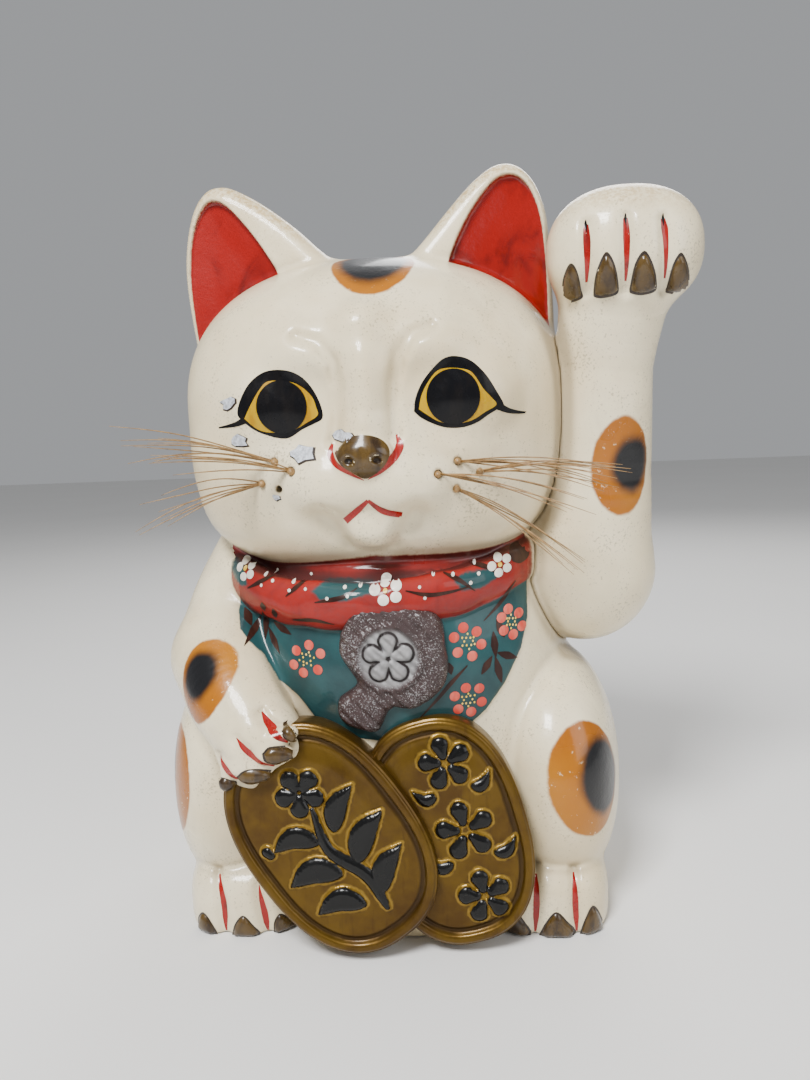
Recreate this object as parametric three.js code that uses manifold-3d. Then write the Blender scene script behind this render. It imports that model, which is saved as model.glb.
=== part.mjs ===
import * as THREE from 'three';
import Module from 'manifold-3d';
import { mergeVertices } from 'three/addons/utils/BufferGeometryUtils.js';

// Beckoning cat coin bank, millimetres, +Z up, facing -Y. The origin is on the underside of the base plate.

// ---- driving dimensions ----
const HEIGHT = 424;               // floor to the higher ear tip
const WIDTH = 272;                // across the haunches
const DEPTH = 200;                // feet to the middle of the back
const WALL = 5;                   // pottery wall
const GAP = 0.3;                  // left between pieces that are stuck together
const SEAM_Y = 2;                 // plane where the two mould halves meet

const PLATE_THICKNESS = 6;
const STOPPER_HOLE_RADIUS = 20;
const STOPPER_Y = 42;
const STOPPER_CLEARANCE = 0.1;
const STOPPER_FLANGE = 3.5;       // flange overhang round the shank
const STOPPER_FLANGE_THICKNESS = 2;
const STOPPER_RECESS = 1;         // the flange sits this far above the floor
const STOPPER_INSIDE = 5;         // shank that stands up inside the body

const SLOT_WIDTH = 44;
const SLOT_HEIGHT = 5;
const SLOT_Z = 300;
const SLOT_CUT_DEPTH = 20;

const COIN = { halfLength: 66, halfWidth: 45, thickness: 20, rim: 5, groove: 1.6 };
const CHARM = { halfWidth: 29, halfHeight: 27, thickness: 13, rim: 3, groove: 1.2 };
const COIN_LEAN_BACK = -5;        // degrees, top of the coins towards the belly
const FRONT_COIN = { at: [-33, -84, 67], lean: -36 };
const REAR_COIN = { at: [29, -77, 65], lean: -15, scale: 0.92 };
const CHARM_AT = [0, -80, 161];
const STROKE_HEIGHT = 2.6;        // half the depth of a raised stroke, half of it sunk in the face
const PETALS = 5;

const WHISKER_HOLE_RADIUS = 1.9;
const WHISKER_HOLE_DEPTH = 20;
const WHISKER_PLUG = 10;          // length of the glue plug that holds a tuft
const BRISTLE_RADIUS = 0.45;
const BRISTLE_FAN = 5;            // spacing of bristle tips
const BRISTLE_BOW = 3;            // rise of a bristle at its middle
const BRISTLE_TRIM = 0.06;        // each bristle is this share shorter than the one before

// The tables below are drawn for a cat of this size and are stretched to the driving dimensions.
const DRAWN = { height: 424, width: 272, depth: 200 };
const STRETCH = new THREE.Vector3(WIDTH / DRAWN.width, DEPTH / DRAWN.depth, HEIGHT / DRAWN.height);
const BIG = 1000;

const wasm = await Module();
wasm.setup();

// ---- helpers ----
function toSolid(geometry) {
  const bare = geometry.index ? geometry.clone() : geometry;
  bare.deleteAttribute('normal');
  bare.deleteAttribute('uv');
  const merged = mergeVertices(bare, 1e-4);
  return new wasm.Manifold(new wasm.Mesh({
    numProp: 3,
    vertProperties: new Float32Array(merged.attributes.position.array),
    triVerts: new Uint32Array(merged.index.array),
  }));
}

function joinAll(solids) {
  return solids.reduce((whole, next) => whole.add(next));
}

function place(x, y, z) {
  return new THREE.Vector3(x, y, z).multiply(STRETCH);
}

function spin(degrees = [0, 0, 0]) {
  const angles = degrees.map(THREE.MathUtils.degToRad);
  return new THREE.Matrix4().makeRotationFromEuler(new THREE.Euler(...angles));
}

// A rounded block between an ellipsoid (power 2) and a box (high power). grow moves its surface outwards.
function blob({ at, r, power = 2, turn, sides = 18, rings = 10 }, grow = 0) {
  const geometry = new THREE.SphereGeometry(1, sides, rings);
  const radii = new THREE.Vector3(...r).multiply(STRETCH).addScalar(grow);
  const points = geometry.attributes.position;
  const v = new THREE.Vector3();
  for (let i = 0; i < points.count; i += 1) {
    v.fromBufferAttribute(points, i);
    const norm = (Math.abs(v.x) ** power + Math.abs(v.y) ** power + Math.abs(v.z) ** power) ** (1 / power);
    v.divideScalar(norm).multiply(radii);
    points.setXYZ(i, v.x, v.y, v.z);
  }
  geometry.applyMatrix4(spin(turn));
  const centre = place(...at);
  return toSolid(geometry.translate(centre.x, centre.y, centre.z));
}

// A round-ended limb through stations { at, r: [across, deep] }; deep lies along ref.
function limb({ stations, ref = [0, 1, 0], sides = 14, rings = 10, cap = 0.22 }, grow = 0) {
  const geometry = new THREE.SphereGeometry(1, sides, rings);
  const path = new THREE.CatmullRomCurve3(stations.map((s) => place(...s.at)));
  const girth = new THREE.CatmullRomCurve3(
    stations.map((s) => new THREE.Vector3(s.r[0] * STRETCH.x, s.r[1] * STRETCH.y, 0).addScalar(grow)),
  );
  const deepAxis = new THREE.Vector3(...ref);
  const points = geometry.attributes.position;
  const v = new THREE.Vector3();
  for (let i = 0; i < points.count; i += 1) {
    v.fromBufferAttribute(points, i);
    const polar = Math.acos(THREE.MathUtils.clamp(v.y, -1, 1)) / Math.PI;
    const turn = Math.atan2(v.z, v.x);
    const t = THREE.MathUtils.clamp((polar - cap) / (1 - 2 * cap), 0, 1);
    const capAngle = (Math.PI / 2) * Math.min(1, polar / cap, (1 - polar) / cap);
    const tangent = path.getTangent(t);
    const across = new THREE.Vector3().crossVectors(tangent, deepAxis).normalize();
    const deep = new THREE.Vector3().crossVectors(across, tangent);
    const size = girth.getPoint(t);
    const bulge = Math.cos(capAngle) * Math.min(size.x, size.y) * (polar < 0.5 ? -1 : 1);
    const radius = Math.sin(capAngle);
    const spot = path.getPoint(t)
      .addScaledVector(tangent, bulge)
      .addScaledVector(across, Math.cos(turn) * radius * size.x)
      .addScaledVector(deep, Math.sin(turn) * radius * size.y);
    points.setXYZ(i, spot.x, spot.y, spot.z);
  }
  return outward(toSolid(geometry), geometry);
}

// Flips the triangles of a body whose mapping turned it inside out.
function outward(solid, geometry) {
  if (solid.volume() > 0) return solid;
  const index = geometry.index.array;
  for (let i = 0; i < index.length; i += 3) [index[i], index[i + 1]] = [index[i + 1], index[i]];
  return toSolid(geometry);
}

function box(low, high) {
  const size = high.map((value, i) => value - low[i]);
  const geometry = new THREE.BoxGeometry(...size);
  return toSolid(geometry.translate(...low.map((value, i) => value + size[i] / 2)));
}

function turned(profile, segments = 40) {
  return new THREE.LatheGeometry(profile.map(([r, h]) => new THREE.Vector2(r, h)), segments);
}

// ---- the body's outer form ----
const HEAD = { at: [-6, -3, 291], r: [111, 93, 84], power: 2.35, sides: 26, rings: 16 };
const CHEEKS = { at: [-9, -24, 246], r: [97, 62, 47], power: 2.5, sides: 20, rings: 10 };
const TORSO = {
  ref: [0, 1, 0],
  cap: 0.02,
  sides: 24,
  rings: 8,
  stations: [
    { at: [0, 6, -20], r: [112, 88] },
    { at: [0, 6, 30], r: [118, 94] },
    { at: [0, 8, 90], r: [116, 96] },
    { at: [0, 6, 150], r: [106, 88] },
    { at: [-2, 4, 205], r: [90, 74] },
    { at: [-4, 2, 250], r: [80, 68] },
  ],
};
const CHEST = { at: [-2, -20, 152], r: [82, 62, 58] };
const HAUNCHES = [-1, 1].map((side) => ({ at: [side * 94 - 3, -10, 73], r: [40, 74, 72], power: 2.2 }));
const FEET = [-1, 1].map((side) => ({ at: [side * 86 - 2, -44, 12], r: [34, 42, 29], power: 3 }));
const LOWERED_UPPER_ARM = {
  stations: [
    { at: [-76, -6, 196], r: [36, 38] },
    { at: [-90, -20, 174], r: [33, 35] },
    { at: [-98, -42, 150], r: [29, 31] },
  ],
};
const LOWERED_FOREARM = {
  stations: [
    { at: [-98, -44, 149], r: [28, 31] },
    { at: [-87, -68, 132], r: [27, 26] },
    { at: [-72, -86, 113], r: [24, 20] },
  ],
};
const EARS = [
  { tip: [-92, -12, 408], base: [-64, -2, 322] },
  { tip: [72, -12, 412], base: [52, -2, 324] },
].map(({ tip, base }) => ({
  stations: [
    { at: base, r: [54, 32] },
    { at: tip.map((value, i) => (value + base[i]) / 2), r: [38, 24] },
    { at: tip, r: [14, 12] },
  ],
}));
const COLLAR = { at: [-7, -2, 206], r: [93, 86, 17], power: 2.4, turn: [17, -2, 0], sides: 26, rings: 8 };
const MUZZLE = { at: [-6, -72, 243], r: [44, 28, 26] };
const NOSE = { at: [-6, -91, 264], r: [14, 9, 11], sides: 16, rings: 10 };
const TAIL = {
  stations: [
    { at: [18, 98, 22], r: [15, 12] },
    { at: [44, 94, 40], r: [17, 13] },
    { at: [52, 92, 70], r: [14, 12] },
  ],
};

const HOLLOWED = [HEAD, CHEEKS, CHEST, ...HAUNCHES].map((spec) => (grow) => blob(spec, grow))
  .concat([TORSO, LOWERED_UPPER_ARM, LOWERED_FOREARM, ...EARS].map((spec) => (grow) => limb(spec, grow)));
const SOLID = [COLLAR, MUZZLE, NOSE, ...FEET].map((spec) => (grow) => blob(spec, grow))
  .concat([(grow) => limb(TAIL, grow)]);

function form(makers, grow) {
  return joinAll(makers.map((make) => make(grow)));
}

const figure = form([...HOLLOWED, ...SOLID], 0);
const figureAndGap = form([...HOLLOWED, ...SOLID], GAP);
const cavity = form(HOLLOWED, -WALL);
const aboveFloor = box([-BIG, -BIG, 0], [BIG, BIG, BIG]);

// ---- whiskers ----
function faceY(x, z) {
  const centre = place(...HEAD.at);
  const radii = new THREE.Vector3(...HEAD.r).multiply(STRETCH);
  const across = Math.abs((x * STRETCH.x - centre.x) / radii.x) ** HEAD.power;
  const up = Math.abs((z * STRETCH.z - centre.z) / radii.z) ** HEAD.power;
  return (centre.y - radii.y * Math.max(0, 1 - across - up) ** (1 / HEAD.power)) / STRETCH.y;
}

const TUFTS = [
  { name: 'whisker_left_upper', at: [-52, 263], reach: [-68, -28, 12], bristles: 5 },
  { name: 'whisker_left_inner', at: [-43, 258], reach: [-66, -30, 9], bristles: 4 },
  { name: 'whisker_left_lower', at: [-60, 252], reach: [-55, -25, -16], bristles: 5 },
  { name: 'whisker_right_inner', at: [31, 254], reach: [72, -26, -20], bristles: 4 },
  { name: 'whisker_right_upper', at: [41, 260], reach: [78, -25, -6], bristles: 5 },
  { name: 'whisker_right_outer', at: [52, 254], reach: [70, -24, -2], bristles: 5 },
  { name: 'whisker_right_lower', at: [40, 246], reach: [62, -28, -42], bristles: 5 },
];
const EMPTY_HOLE = [-51, 249];

function holeCutter([x, z]) {
  const mouth = place(x, faceY(x, z), z);
  const radii = [WHISKER_HOLE_RADIUS, WHISKER_HOLE_RADIUS];
  const geometry = new THREE.CylinderGeometry(...radii, WHISKER_HOLE_DEPTH, 12);
  return toSolid(geometry.translate(mouth.x, mouth.y, mouth.z));
}

function tuft({ at: [x, z], reach, bristles }) {
  const root = [x, faceY(x, z) - WHISKER_PLUG / 4, z];
  const plugRadius = WHISKER_HOLE_RADIUS - GAP;
  const plugSize = [plugRadius, WHISKER_PLUG / 2, plugRadius];
  const plug = blob({ at: [x, faceY(x, z), z], r: plugSize, sides: 8, rings: 6 });
  const hairs = Array.from({ length: bristles }, (_, i) => {
    const fan = (i - (bristles - 1) / 2) * BRISTLE_FAN;
    const length = 1 - BRISTLE_TRIM * i;
    const tip = root.map((value, axis) => value + reach[axis] * length + (axis === 2 ? fan : 0));
    const middle = root.map((value, axis) => (value + tip[axis]) / 2 + (axis === 2 ? BRISTLE_BOW : 0));
    const girth = [BRISTLE_RADIUS, BRISTLE_RADIUS];
    const stations = [root, middle, tip].map((at) => ({ at, r: girth }));
    return limb({ stations, sides: 4, rings: 4, cap: 0.2 });
  });
  return joinAll([plug, ...hairs]);
}

// ---- coins and charm ----
// A round plaque with a raised rim, on its back at the origin with its face towards -Y.
function plaque(radius, aspect, { thickness, rim, groove }) {
  const edge = thickness / 6;
  const profile = [
    [0, 0], [radius, 0], [radius, thickness - edge], [radius - edge / 2, thickness - edge / 4],
    [radius - rim * 0.6, thickness], [radius - rim, thickness - edge / 4],
    [radius - rim * 1.3, thickness - groove], [0, thickness - groove],
  ];
  const geometry = turned(profile, 30).scale(aspect, 1, 1).rotateX(Math.PI);
  return outward(toSolid(geometry), geometry);
}

// A raised stroke on a plaque's face, through points [across, up] from its middle.
function stroke({ points, width }, face) {
  const stations = points.map(([u, v]) => ({ at: [u, -face, v], r: [width, STROKE_HEIGHT] }));
  return limb({ stations, sides: 6, rings: 5, cap: 0.3 });
}

function coin({ at, lean, scale = 1 }, grow = 0) {
  const length = COIN.halfLength * scale + grow;
  const size = { ...COIN, thickness: COIN.thickness + 2 * grow };
  const disc = plaque(length, COIN.halfWidth / COIN.halfLength, size).translate([0, grow, 0]);
  const relief = SPRAY.map((mark) => stroke(mark, COIN.thickness - COIN.groove));
  return posed(joinAll([disc, ...relief]), at, [COIN_LEAN_BACK, lean, 0]);
}

function posed(solid, at, turn) {
  const matrix = spin(turn).setPosition(place(...at));
  return solid.transform(matrix.elements);
}

const SPRAY_NODES = [26, 4, -18];
// A leafy spray under a blossom. It stands in for the lettering that such plaques carry.
const SPRAY = [
  { points: [[-4, 34], [4, 10], [0, -14], [8, -40]], width: 3 },
  ...[-1, 1].flatMap((side) => SPRAY_NODES.map((height) => ({
    points: [[side * 6, height - 4], [side * 20, height + 5]],
    width: 5,
  }))),
  ...blossom(0, 40, 7, 3.6),
];
const CHARM_ORNAMENT = blossom(0, 1, 9.5, 5.4);

function blossom(across, up, spread, width) {
  return Array.from({ length: PETALS }, (_, i) => {
    const angle = (i * 2 * Math.PI) / PETALS;
    const petal = [across + spread * Math.sin(angle), up + spread * Math.cos(angle)];
    return { points: [petal.map((value, axis) => value - (axis === 1 ? 0.5 : 0)), petal], width };
  });
}

function charm() {
  const aspect = CHARM.halfHeight / CHARM.halfWidth;
  const relief = CHARM_ORNAMENT.map((mark) => stroke(mark, CHARM.thickness - CHARM.groove));
  const head = joinAll([plaque(CHARM.halfWidth, 1, CHARM).scale([1, 1, aspect]), ...relief]);
  const handle = limb({
    ref: [0, 1, 0],
    stations: [{ at: [-10, -6, -14], r: [9, 5] }, { at: [-19, -6, -28], r: [11, 6] }],
  });
  return posed(head.add(handle), CHARM_AT, [0, 0, 0]);
}

// ---- raised arm ----
const RAISED_SHOULDER = { at: [90, -2, 196], r: [38, 36, 38] };
const RAISED_ELBOW = { at: [114, -10, 188], r: [40, 38, 40], sides: 24, rings: 14 };
const RAISED_FOREARM = {
  sides: 20,
  stations: [
    { at: [117, -14, 196], r: [36, 36] },
    { at: [121, -24, 250], r: [29, 31] },
    { at: [123, -35, 310], r: [27, 27] },
    { at: [128, -44, 350], r: [32, 28] },
  ],
};
const RAISED_PAW = { at: [131, -50, 364], r: [40, 34, 32], power: 2.3 };
// Opening at the shoulder, where the slip was drained before the arm was stuck on.
const ARM_THROAT = {
  stations: [
    { at: [60, 0, 190], r: [18, 18] },
    { at: [116, -12, 188], r: [18, 18] },
  ],
};
const ARM = [RAISED_SHOULDER, RAISED_ELBOW, RAISED_PAW].map((spec) => (grow) => blob(spec, grow))
  .concat([(grow) => limb(RAISED_FOREARM, grow)]);
const armForm = (grow) => form(ARM, grow);

// ---- base ----
const cavityForPlate = form(HOLLOWED, -WALL - GAP);
const stopperShank = STOPPER_HOLE_RADIUS - STOPPER_CLEARANCE;
const recessDepth = STOPPER_RECESS + STOPPER_FLANGE_THICKNESS + GAP;
const recessRadius = STOPPER_HOLE_RADIUS + STOPPER_FLANGE + GAP;

function upright(profile) {
  const geometry = turned(profile).rotateX(Math.PI / 2);
  const solid = outward(toSolid(geometry), geometry);
  return solid.translate([0, STOPPER_Y * STRETCH.y, 0]);
}

function basePlate() {
  const slab = cavityForPlate.intersect(box([-BIG, -BIG, 0], [BIG, BIG, PLATE_THICKNESS]));
  const hole = upright([
    [0, -1], [recessRadius, -1], [recessRadius, recessDepth], [STOPPER_HOLE_RADIUS, recessDepth],
    [STOPPER_HOLE_RADIUS, PLATE_THICKNESS + 1], [0, PLATE_THICKNESS + 1],
  ]);
  return slab.subtract(hole);
}

function stopper() {
  const flange = STOPPER_HOLE_RADIUS + STOPPER_FLANGE;
  const shoulder = STOPPER_RECESS + STOPPER_FLANGE_THICKNESS;
  const top = PLATE_THICKNESS + STOPPER_INSIDE;
  return upright([
    [0, STOPPER_RECESS], [flange, STOPPER_RECESS], [flange, shoulder], [stopperShank, shoulder],
    [stopperShank, PLATE_THICKNESS], [stopperShank - 1, top], [0, top],
  ]);
}

// ---- shells ----
function slotCutter() {
  const back = place(HEAD.at[0], HEAD.at[1] + HEAD.r[1], SLOT_Z);
  const half = [SLOT_WIDTH / 2, SLOT_CUT_DEPTH, SLOT_HEIGHT / 2];
  return box(back.toArray().map((v, i) => v - half[i]), back.toArray().map((v, i) => v + half[i]));
}

const holes = joinAll([...TUFTS.map(({ at }) => at), EMPTY_HOLE].map(holeCutter));
const shell = figure.subtract(cavity).intersect(aboveFloor).subtract(holes).subtract(slotCutter());
const frontHalf = box([-BIG, -BIG, -BIG], [BIG, SEAM_Y - GAP / 2, BIG]);
const backHalf = box([-BIG, SEAM_Y + GAP / 2, -BIG], [BIG, BIG, BIG]);

const armCavity = armForm(-WALL).subtract(form([...HOLLOWED, ...SOLID], WALL)).add(limb(ARM_THROAT));
const arm = armForm(0).subtract(armCavity).subtract(figureAndGap);
const frontCoin = coin(FRONT_COIN).subtract(figureAndGap).intersect(aboveFloor);
const rearCoin = coin(REAR_COIN).subtract(figureAndGap).subtract(coin(FRONT_COIN, GAP)).intersect(aboveFloor);

// ---- assembly ----
const pottery = () => new THREE.MeshStandardMaterial({ color: 0xe6dcc4, roughness: 0.3, metalness: 0 });
const gilt = () => new THREE.MeshStandardMaterial({ color: 0x73551f, roughness: 0.35, metalness: 0.2 });
const maroon = () => new THREE.MeshStandardMaterial({ color: 0x4a2a28, roughness: 0.4, metalness: 0.1 });
const bristle = () => new THREE.MeshStandardMaterial({ color: 0x8a6a3c, roughness: 0.5, metalness: 0 });
const bisque = () => new THREE.MeshStandardMaterial({ color: 0xc9b79a, roughness: 0.8, metalness: 0 });
const rubber = () => new THREE.MeshStandardMaterial({ color: 0x2b2a28, roughness: 0.85, metalness: 0 });

function toMesh(name, solid, material) {
  const { vertProperties, triVerts } = solid.getMesh();
  const geometry = new THREE.BufferGeometry();
  geometry.setAttribute('position', new THREE.BufferAttribute(vertProperties, 3));
  geometry.setIndex(new THREE.BufferAttribute(triVerts, 1));
  geometry.computeVertexNormals();
  const mesh = new THREE.Mesh(geometry, material);
  mesh.name = name;
  return mesh;
}

const cat = new THREE.Group();
cat.name = 'beckoning_cat';
cat.add(
  toMesh('front_shell', shell.intersect(frontHalf), pottery()),
  toMesh('back_shell', shell.intersect(backHalf), pottery()),
  toMesh('raised_arm', arm, pottery()),
  toMesh('front_coin', frontCoin, gilt()),
  toMesh('rear_coin', rearCoin, gilt()),
  toMesh('mallet_charm', charm().subtract(figureAndGap), maroon()),
  ...TUFTS.map((spec) => toMesh(spec.name, tuft(spec), bristle())),
  toMesh('base_plate', basePlate(), bisque()),
  toMesh('base_stopper', stopper(), rubber()),
);

export default cat;
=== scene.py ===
import math

import bmesh
import bpy
import numpy as np
import openvdb
from mathutils import Matrix, Vector, geometry


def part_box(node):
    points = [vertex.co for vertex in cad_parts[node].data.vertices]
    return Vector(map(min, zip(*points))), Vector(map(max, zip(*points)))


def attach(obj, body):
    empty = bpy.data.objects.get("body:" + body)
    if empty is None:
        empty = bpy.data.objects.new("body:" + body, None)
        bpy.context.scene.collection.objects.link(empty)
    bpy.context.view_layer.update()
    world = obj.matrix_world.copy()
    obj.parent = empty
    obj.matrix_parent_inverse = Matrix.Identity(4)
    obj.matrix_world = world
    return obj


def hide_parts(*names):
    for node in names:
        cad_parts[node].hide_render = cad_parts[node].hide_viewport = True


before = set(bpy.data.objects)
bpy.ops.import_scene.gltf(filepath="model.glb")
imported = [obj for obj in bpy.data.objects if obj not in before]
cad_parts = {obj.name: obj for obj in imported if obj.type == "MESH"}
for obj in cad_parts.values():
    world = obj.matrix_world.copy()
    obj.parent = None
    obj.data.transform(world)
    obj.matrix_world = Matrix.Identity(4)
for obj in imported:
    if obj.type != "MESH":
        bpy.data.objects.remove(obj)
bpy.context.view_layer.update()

# Shapes are drawn in millimetres for a cat of DRAWN_HEIGHT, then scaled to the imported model.
DRAWN_HEIGHT = 423.6
shell_low, shell_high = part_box("front_shell")
UNIT = (shell_high[2] - shell_low[2]) / DRAWN_HEIGHT
# Step of the grid that shapes are worked out on, and the distance that counts as far away.
GRID = 1.3
FAR = 60.0
rng = np.random.default_rng(7)


# ---------------------------------------------------------------- distance fields
def smooth_min(a, b, k):
    if k <= 0:
        return np.minimum(a, b)
    h = np.clip(0.5 + 0.5 * (b - a) / k, 0, 1)
    return b + (a - b) * h - k * h * (1 - h)


def smooth_max(a, b, k):
    return -smooth_min(-a, -b, k)


def step01(a, b, x):
    t = np.clip((x - a) / (b - a), 0, 1)
    return t * t * (3 - 2 * t)


def rotation(degrees):
    rx, ry, rz = (math.radians(v) for v in degrees)
    return np.array(Matrix.Rotation(rz, 3, "Z") @ Matrix.Rotation(ry, 3, "Y") @ Matrix.Rotation(rx, 3, "X"))


def local(x, y, z, at, turn=None):
    x, y, z = x - at[0], y - at[1], z - at[2]
    if turn is None:
        return x, y, z
    m = rotation(turn)
    return tuple(m[0][i] * x + m[1][i] * y + m[2][i] * z for i in range(3))


def blob(at, r, power=2.0, turn=None):
    """A rounded block between an ellipsoid (power 2) and a box (high power)."""
    def distance(x, y, z):
        q = [np.abs(v) / s + 1e-4 for v, s in zip(local(x, y, z, at, turn), r)]
        p = [v * v for v in q] if power == 2 else [v**power for v in q]
        k0 = sum(p) ** (1 / power)
        slope = np.sqrt(sum((pi / qi / s) ** 2 for pi, qi, s in zip(p, q, r))) / k0 ** (power - 1)
        return np.clip((k0 - 1) / slope, -min(r), FAR)
    reach = max(r) if turn else r
    return distance, np.subtract(at, reach), np.add(at, reach)


def limb(points, radii):
    """A tube through points, with a radius at each."""
    points = np.array(points, float)

    def distance(x, y, z):
        best = None
        for a, b, ra, rb in zip(points, points[1:], radii, radii[1:]):
            ab = b - a
            px, py, pz = (v - c for v, c in zip((x, y, z), a))
            t = np.clip((px * ab[0] + py * ab[1] + pz * ab[2]) / (ab @ ab), 0, 1)
            d = np.sqrt((px - t * ab[0]) ** 2 + (py - t * ab[1]) ** 2 + (pz - t * ab[2]) ** 2)
            d = d - (ra + (rb - ra) * t)
            best = d if best is None else np.minimum(best, d)
        return best
    return distance, points.min(0) - max(radii), points.max(0) + max(radii)


def curve(points, count=8):
    """Points along a smooth curve through the given ones."""
    before, after = 2 * np.array(points[0]) - points[1], 2 * np.array(points[-1]) - points[-2]
    p = np.array([before, *points, after], float)
    out = []
    for i in range(1, len(p) - 2):
        for t in np.linspace(0, 1, count, endpoint=False):
            out.append(0.5 * (2 * p[i] + (p[i + 1] - p[i - 1]) * t
                              + (2 * p[i - 1] - 5 * p[i] + 4 * p[i + 1] - p[i + 2]) * t**2
                              + (3 * p[i] - p[i - 1] - 3 * p[i + 1] + p[i + 2]) * t**3))
    return np.array(out + [p[-2]])


def rounded(outline, count=3):
    """A closed outline drawn as one smooth curve."""
    return curve([*outline, outline[0]], count)[:-1]


def half_round(t):
    """The height of a half circle, 1 in the middle (t = 0) and 0 at its end (t = 1)."""
    return np.sqrt(np.clip(1 - t**2, 0, 1))


def polygon_distance(px, pz, outline):
    """Signed distance to a closed outline, negative inside."""
    pts = np.array(outline, float)
    best = np.full(np.broadcast(px, pz).shape, 1e9)
    inside = np.zeros(best.shape, bool)
    for a, b in zip(pts, np.roll(pts, -1, 0)):
        e = b - a
        wx, wz = px - a[0], pz - a[1]
        t = np.clip((wx * e[0] + wz * e[1]) / max(e @ e, 1e-9), 0, 1)
        best = np.minimum(best, (wx - t * e[0]) ** 2 + (wz - t * e[1]) ** 2)
        crosses = (a[1] <= pz) != (b[1] <= pz)
        side = wx - e[0] * wz / (e[1] if e[1] else 1e-9) < 0
        inside ^= crosses & side
    return np.sqrt(best) * np.where(inside, -1, 1)


def stroke_distance(px, pz, points, radii):
    """Signed distance to a brush stroke with a width that changes along it."""
    best = None
    pts = np.array(points, float)
    for a, b, ra, rb in zip(pts, pts[1:], radii, radii[1:]):
        e = b - a
        t = np.clip(((px - a[0]) * e[0] + (pz - a[1]) * e[1]) / max(e @ e, 1e-9), 0, 1)
        d = np.hypot(px - a[0] - t * e[0], pz - a[1] - t * e[1]) - (ra + (rb - ra) * t)
        best = d if best is None else np.minimum(best, d)
    return best


class Field:
    """A signed distance on a regular grid, shaped by joining and cutting forms."""

    def __init__(self, low, high, step=None):
        self.step = step or GRID
        self.low = np.array(low, float)
        count = np.ceil((np.array(high) - self.low) / self.step).astype(int) + 1
        self.axes = [(self.low[i] + np.arange(count[i]) * self.step).astype(np.float32) for i in range(3)]
        self.d = np.full(count, FAR, np.float32)

    def window(self, low, high):
        cut = []
        for i in range(3):
            first = int(np.floor((low[i] - self.low[i]) / self.step))
            last = int(np.ceil((high[i] - self.low[i]) / self.step)) + 1
            cut.append(slice(max(0, first), max(0, min(last, self.d.shape[i]))))
        x, y, z = (axis[c] for axis, c in zip(self.axes, cut))
        return tuple(cut), x[:, None, None], y[None, :, None], z[None, None, :]

    def apply(self, form, k, combine):
        distance, low, high = form
        margin = k + 4 * self.step + 3
        cut, x, y, z = self.window(low - margin, high + margin)
        self.d[cut] = combine(self.d[cut], distance(x, y, z), k)

    def join(self, form, k=0):
        self.apply(form, k, smooth_min)

    def carve(self, form, k=0):
        self.apply(form, k, lambda a, b, kk: smooth_max(a, -b, kk))

    def raise_by(self, low, high, height):
        """Moves the surface outwards by height(x, y, z) inside a window."""
        cut, x, y, z = self.window(low, high)
        self.d[cut] -= height(x, y, z)

    def sample(self, points):
        q = (points - self.low) / self.step
        q = np.clip(q, 0, np.array(self.d.shape) - 1.001)
        i = q.astype(int)
        f = q - i
        out = 0
        for corner in np.ndindex(2, 2, 2):
            w = np.prod([f[:, a] if corner[a] else 1 - f[:, a] for a in range(3)], axis=0)
            out = out + w * self.d[i[:, 0] + corner[0], i[:, 1] + corner[1], i[:, 2] + corner[2]]
        return out

    def normals(self, points, reach=1.0):
        h = self.step * reach
        g = np.stack([self.sample(points + h * e) - self.sample(points - h * e) for e in np.eye(3)], 1)
        return g / np.maximum(np.linalg.norm(g, axis=1, keepdims=True), 1e-9)

    def settle(self, points, rounds=3):
        for _ in range(rounds):
            points = points - self.normals(points) * self.sample(points)[:, None]
        return points

    def mesh(self):
        grid = openvdb.FloatGrid(FAR)
        grid.copyFromArray(self.d)
        points, quads = grid.convertToQuads(0.0)
        points = self.settle(points * self.step + self.low, 2)
        a, b, c = (points[quads[:, i]] for i in range(3))
        face = np.cross(b - a, c - a)
        if (face * self.normals((a + c) / 2)).sum() < 0:
            quads = quads[:, ::-1]
        return points, quads

    def drop(self, points, start=-124.0, rounds=50):
        """Where lines going back (+Y) from (x, z) points first meet the surface."""
        p = np.stack([points[:, 0], np.full(len(points), start), points[:, 1]], 1)
        for _ in range(rounds):
            p[:, 1] += np.clip(self.sample(p), -2, 8) * 0.8
        return p


# ---------------------------------------------------------------- the cat's form
WALL = 5.0
SEAM_Y = 2.0
HEAD_AT = (-6, -3, 291)
BODY_LOW, BODY_HIGH = (-152, -128, -12), (182, 124, 436)
EAR_OUTLINES = {
    "left": [(-110, 318), (-114, 345), (-116, 372), (-113.5, 393), (-108, 409), (-100, 418), (-92, 420),
             (-83, 418), (-66, 408), (-47, 393), (-30, 377), (-8, 362), (-8, 330), (-60, 300)],
    "right": [(99, 314), (98.5, 345), (97, 375), (95, 396), (89, 412), (81, 420.5), (73, 423), (64, 421),
              (52, 412), (38, 397), (24, 381), (14, 372), (-6, 360), (0, 330), (50, 300)],
}
EAR_FACES = {
    "left": [(-108, 322), (-110.5, 345), (-111.5, 370), (-109, 390), (-104, 403), (-98, 410), (-91, 410),
             (-83, 404), (-70, 388), (-57, 367), (-47, 346), (-42, 332), (-60, 300), (-100, 300)],
    "right": [(94.5, 316), (94.5, 345), (93.5, 372), (91, 393), (86, 407), (79, 414), (72, 415),
              (64, 411), (52, 396), (42, 377), (35, 356), (32, 338), (50, 300), (90, 300)],
}
EAR_SWING = {"left": math.tan(math.radians(-9)), "right": math.tan(math.radians(9))}
EAR_MIDDLE = {"left": -72.0, "right": 58.0}


def ear_depth(side, x, y):
    """Depth behind the plane of the ear's own front, which faces outwards a little."""
    return y + 26 - EAR_SWING[side] * (x - EAR_MIDDLE[side])


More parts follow.
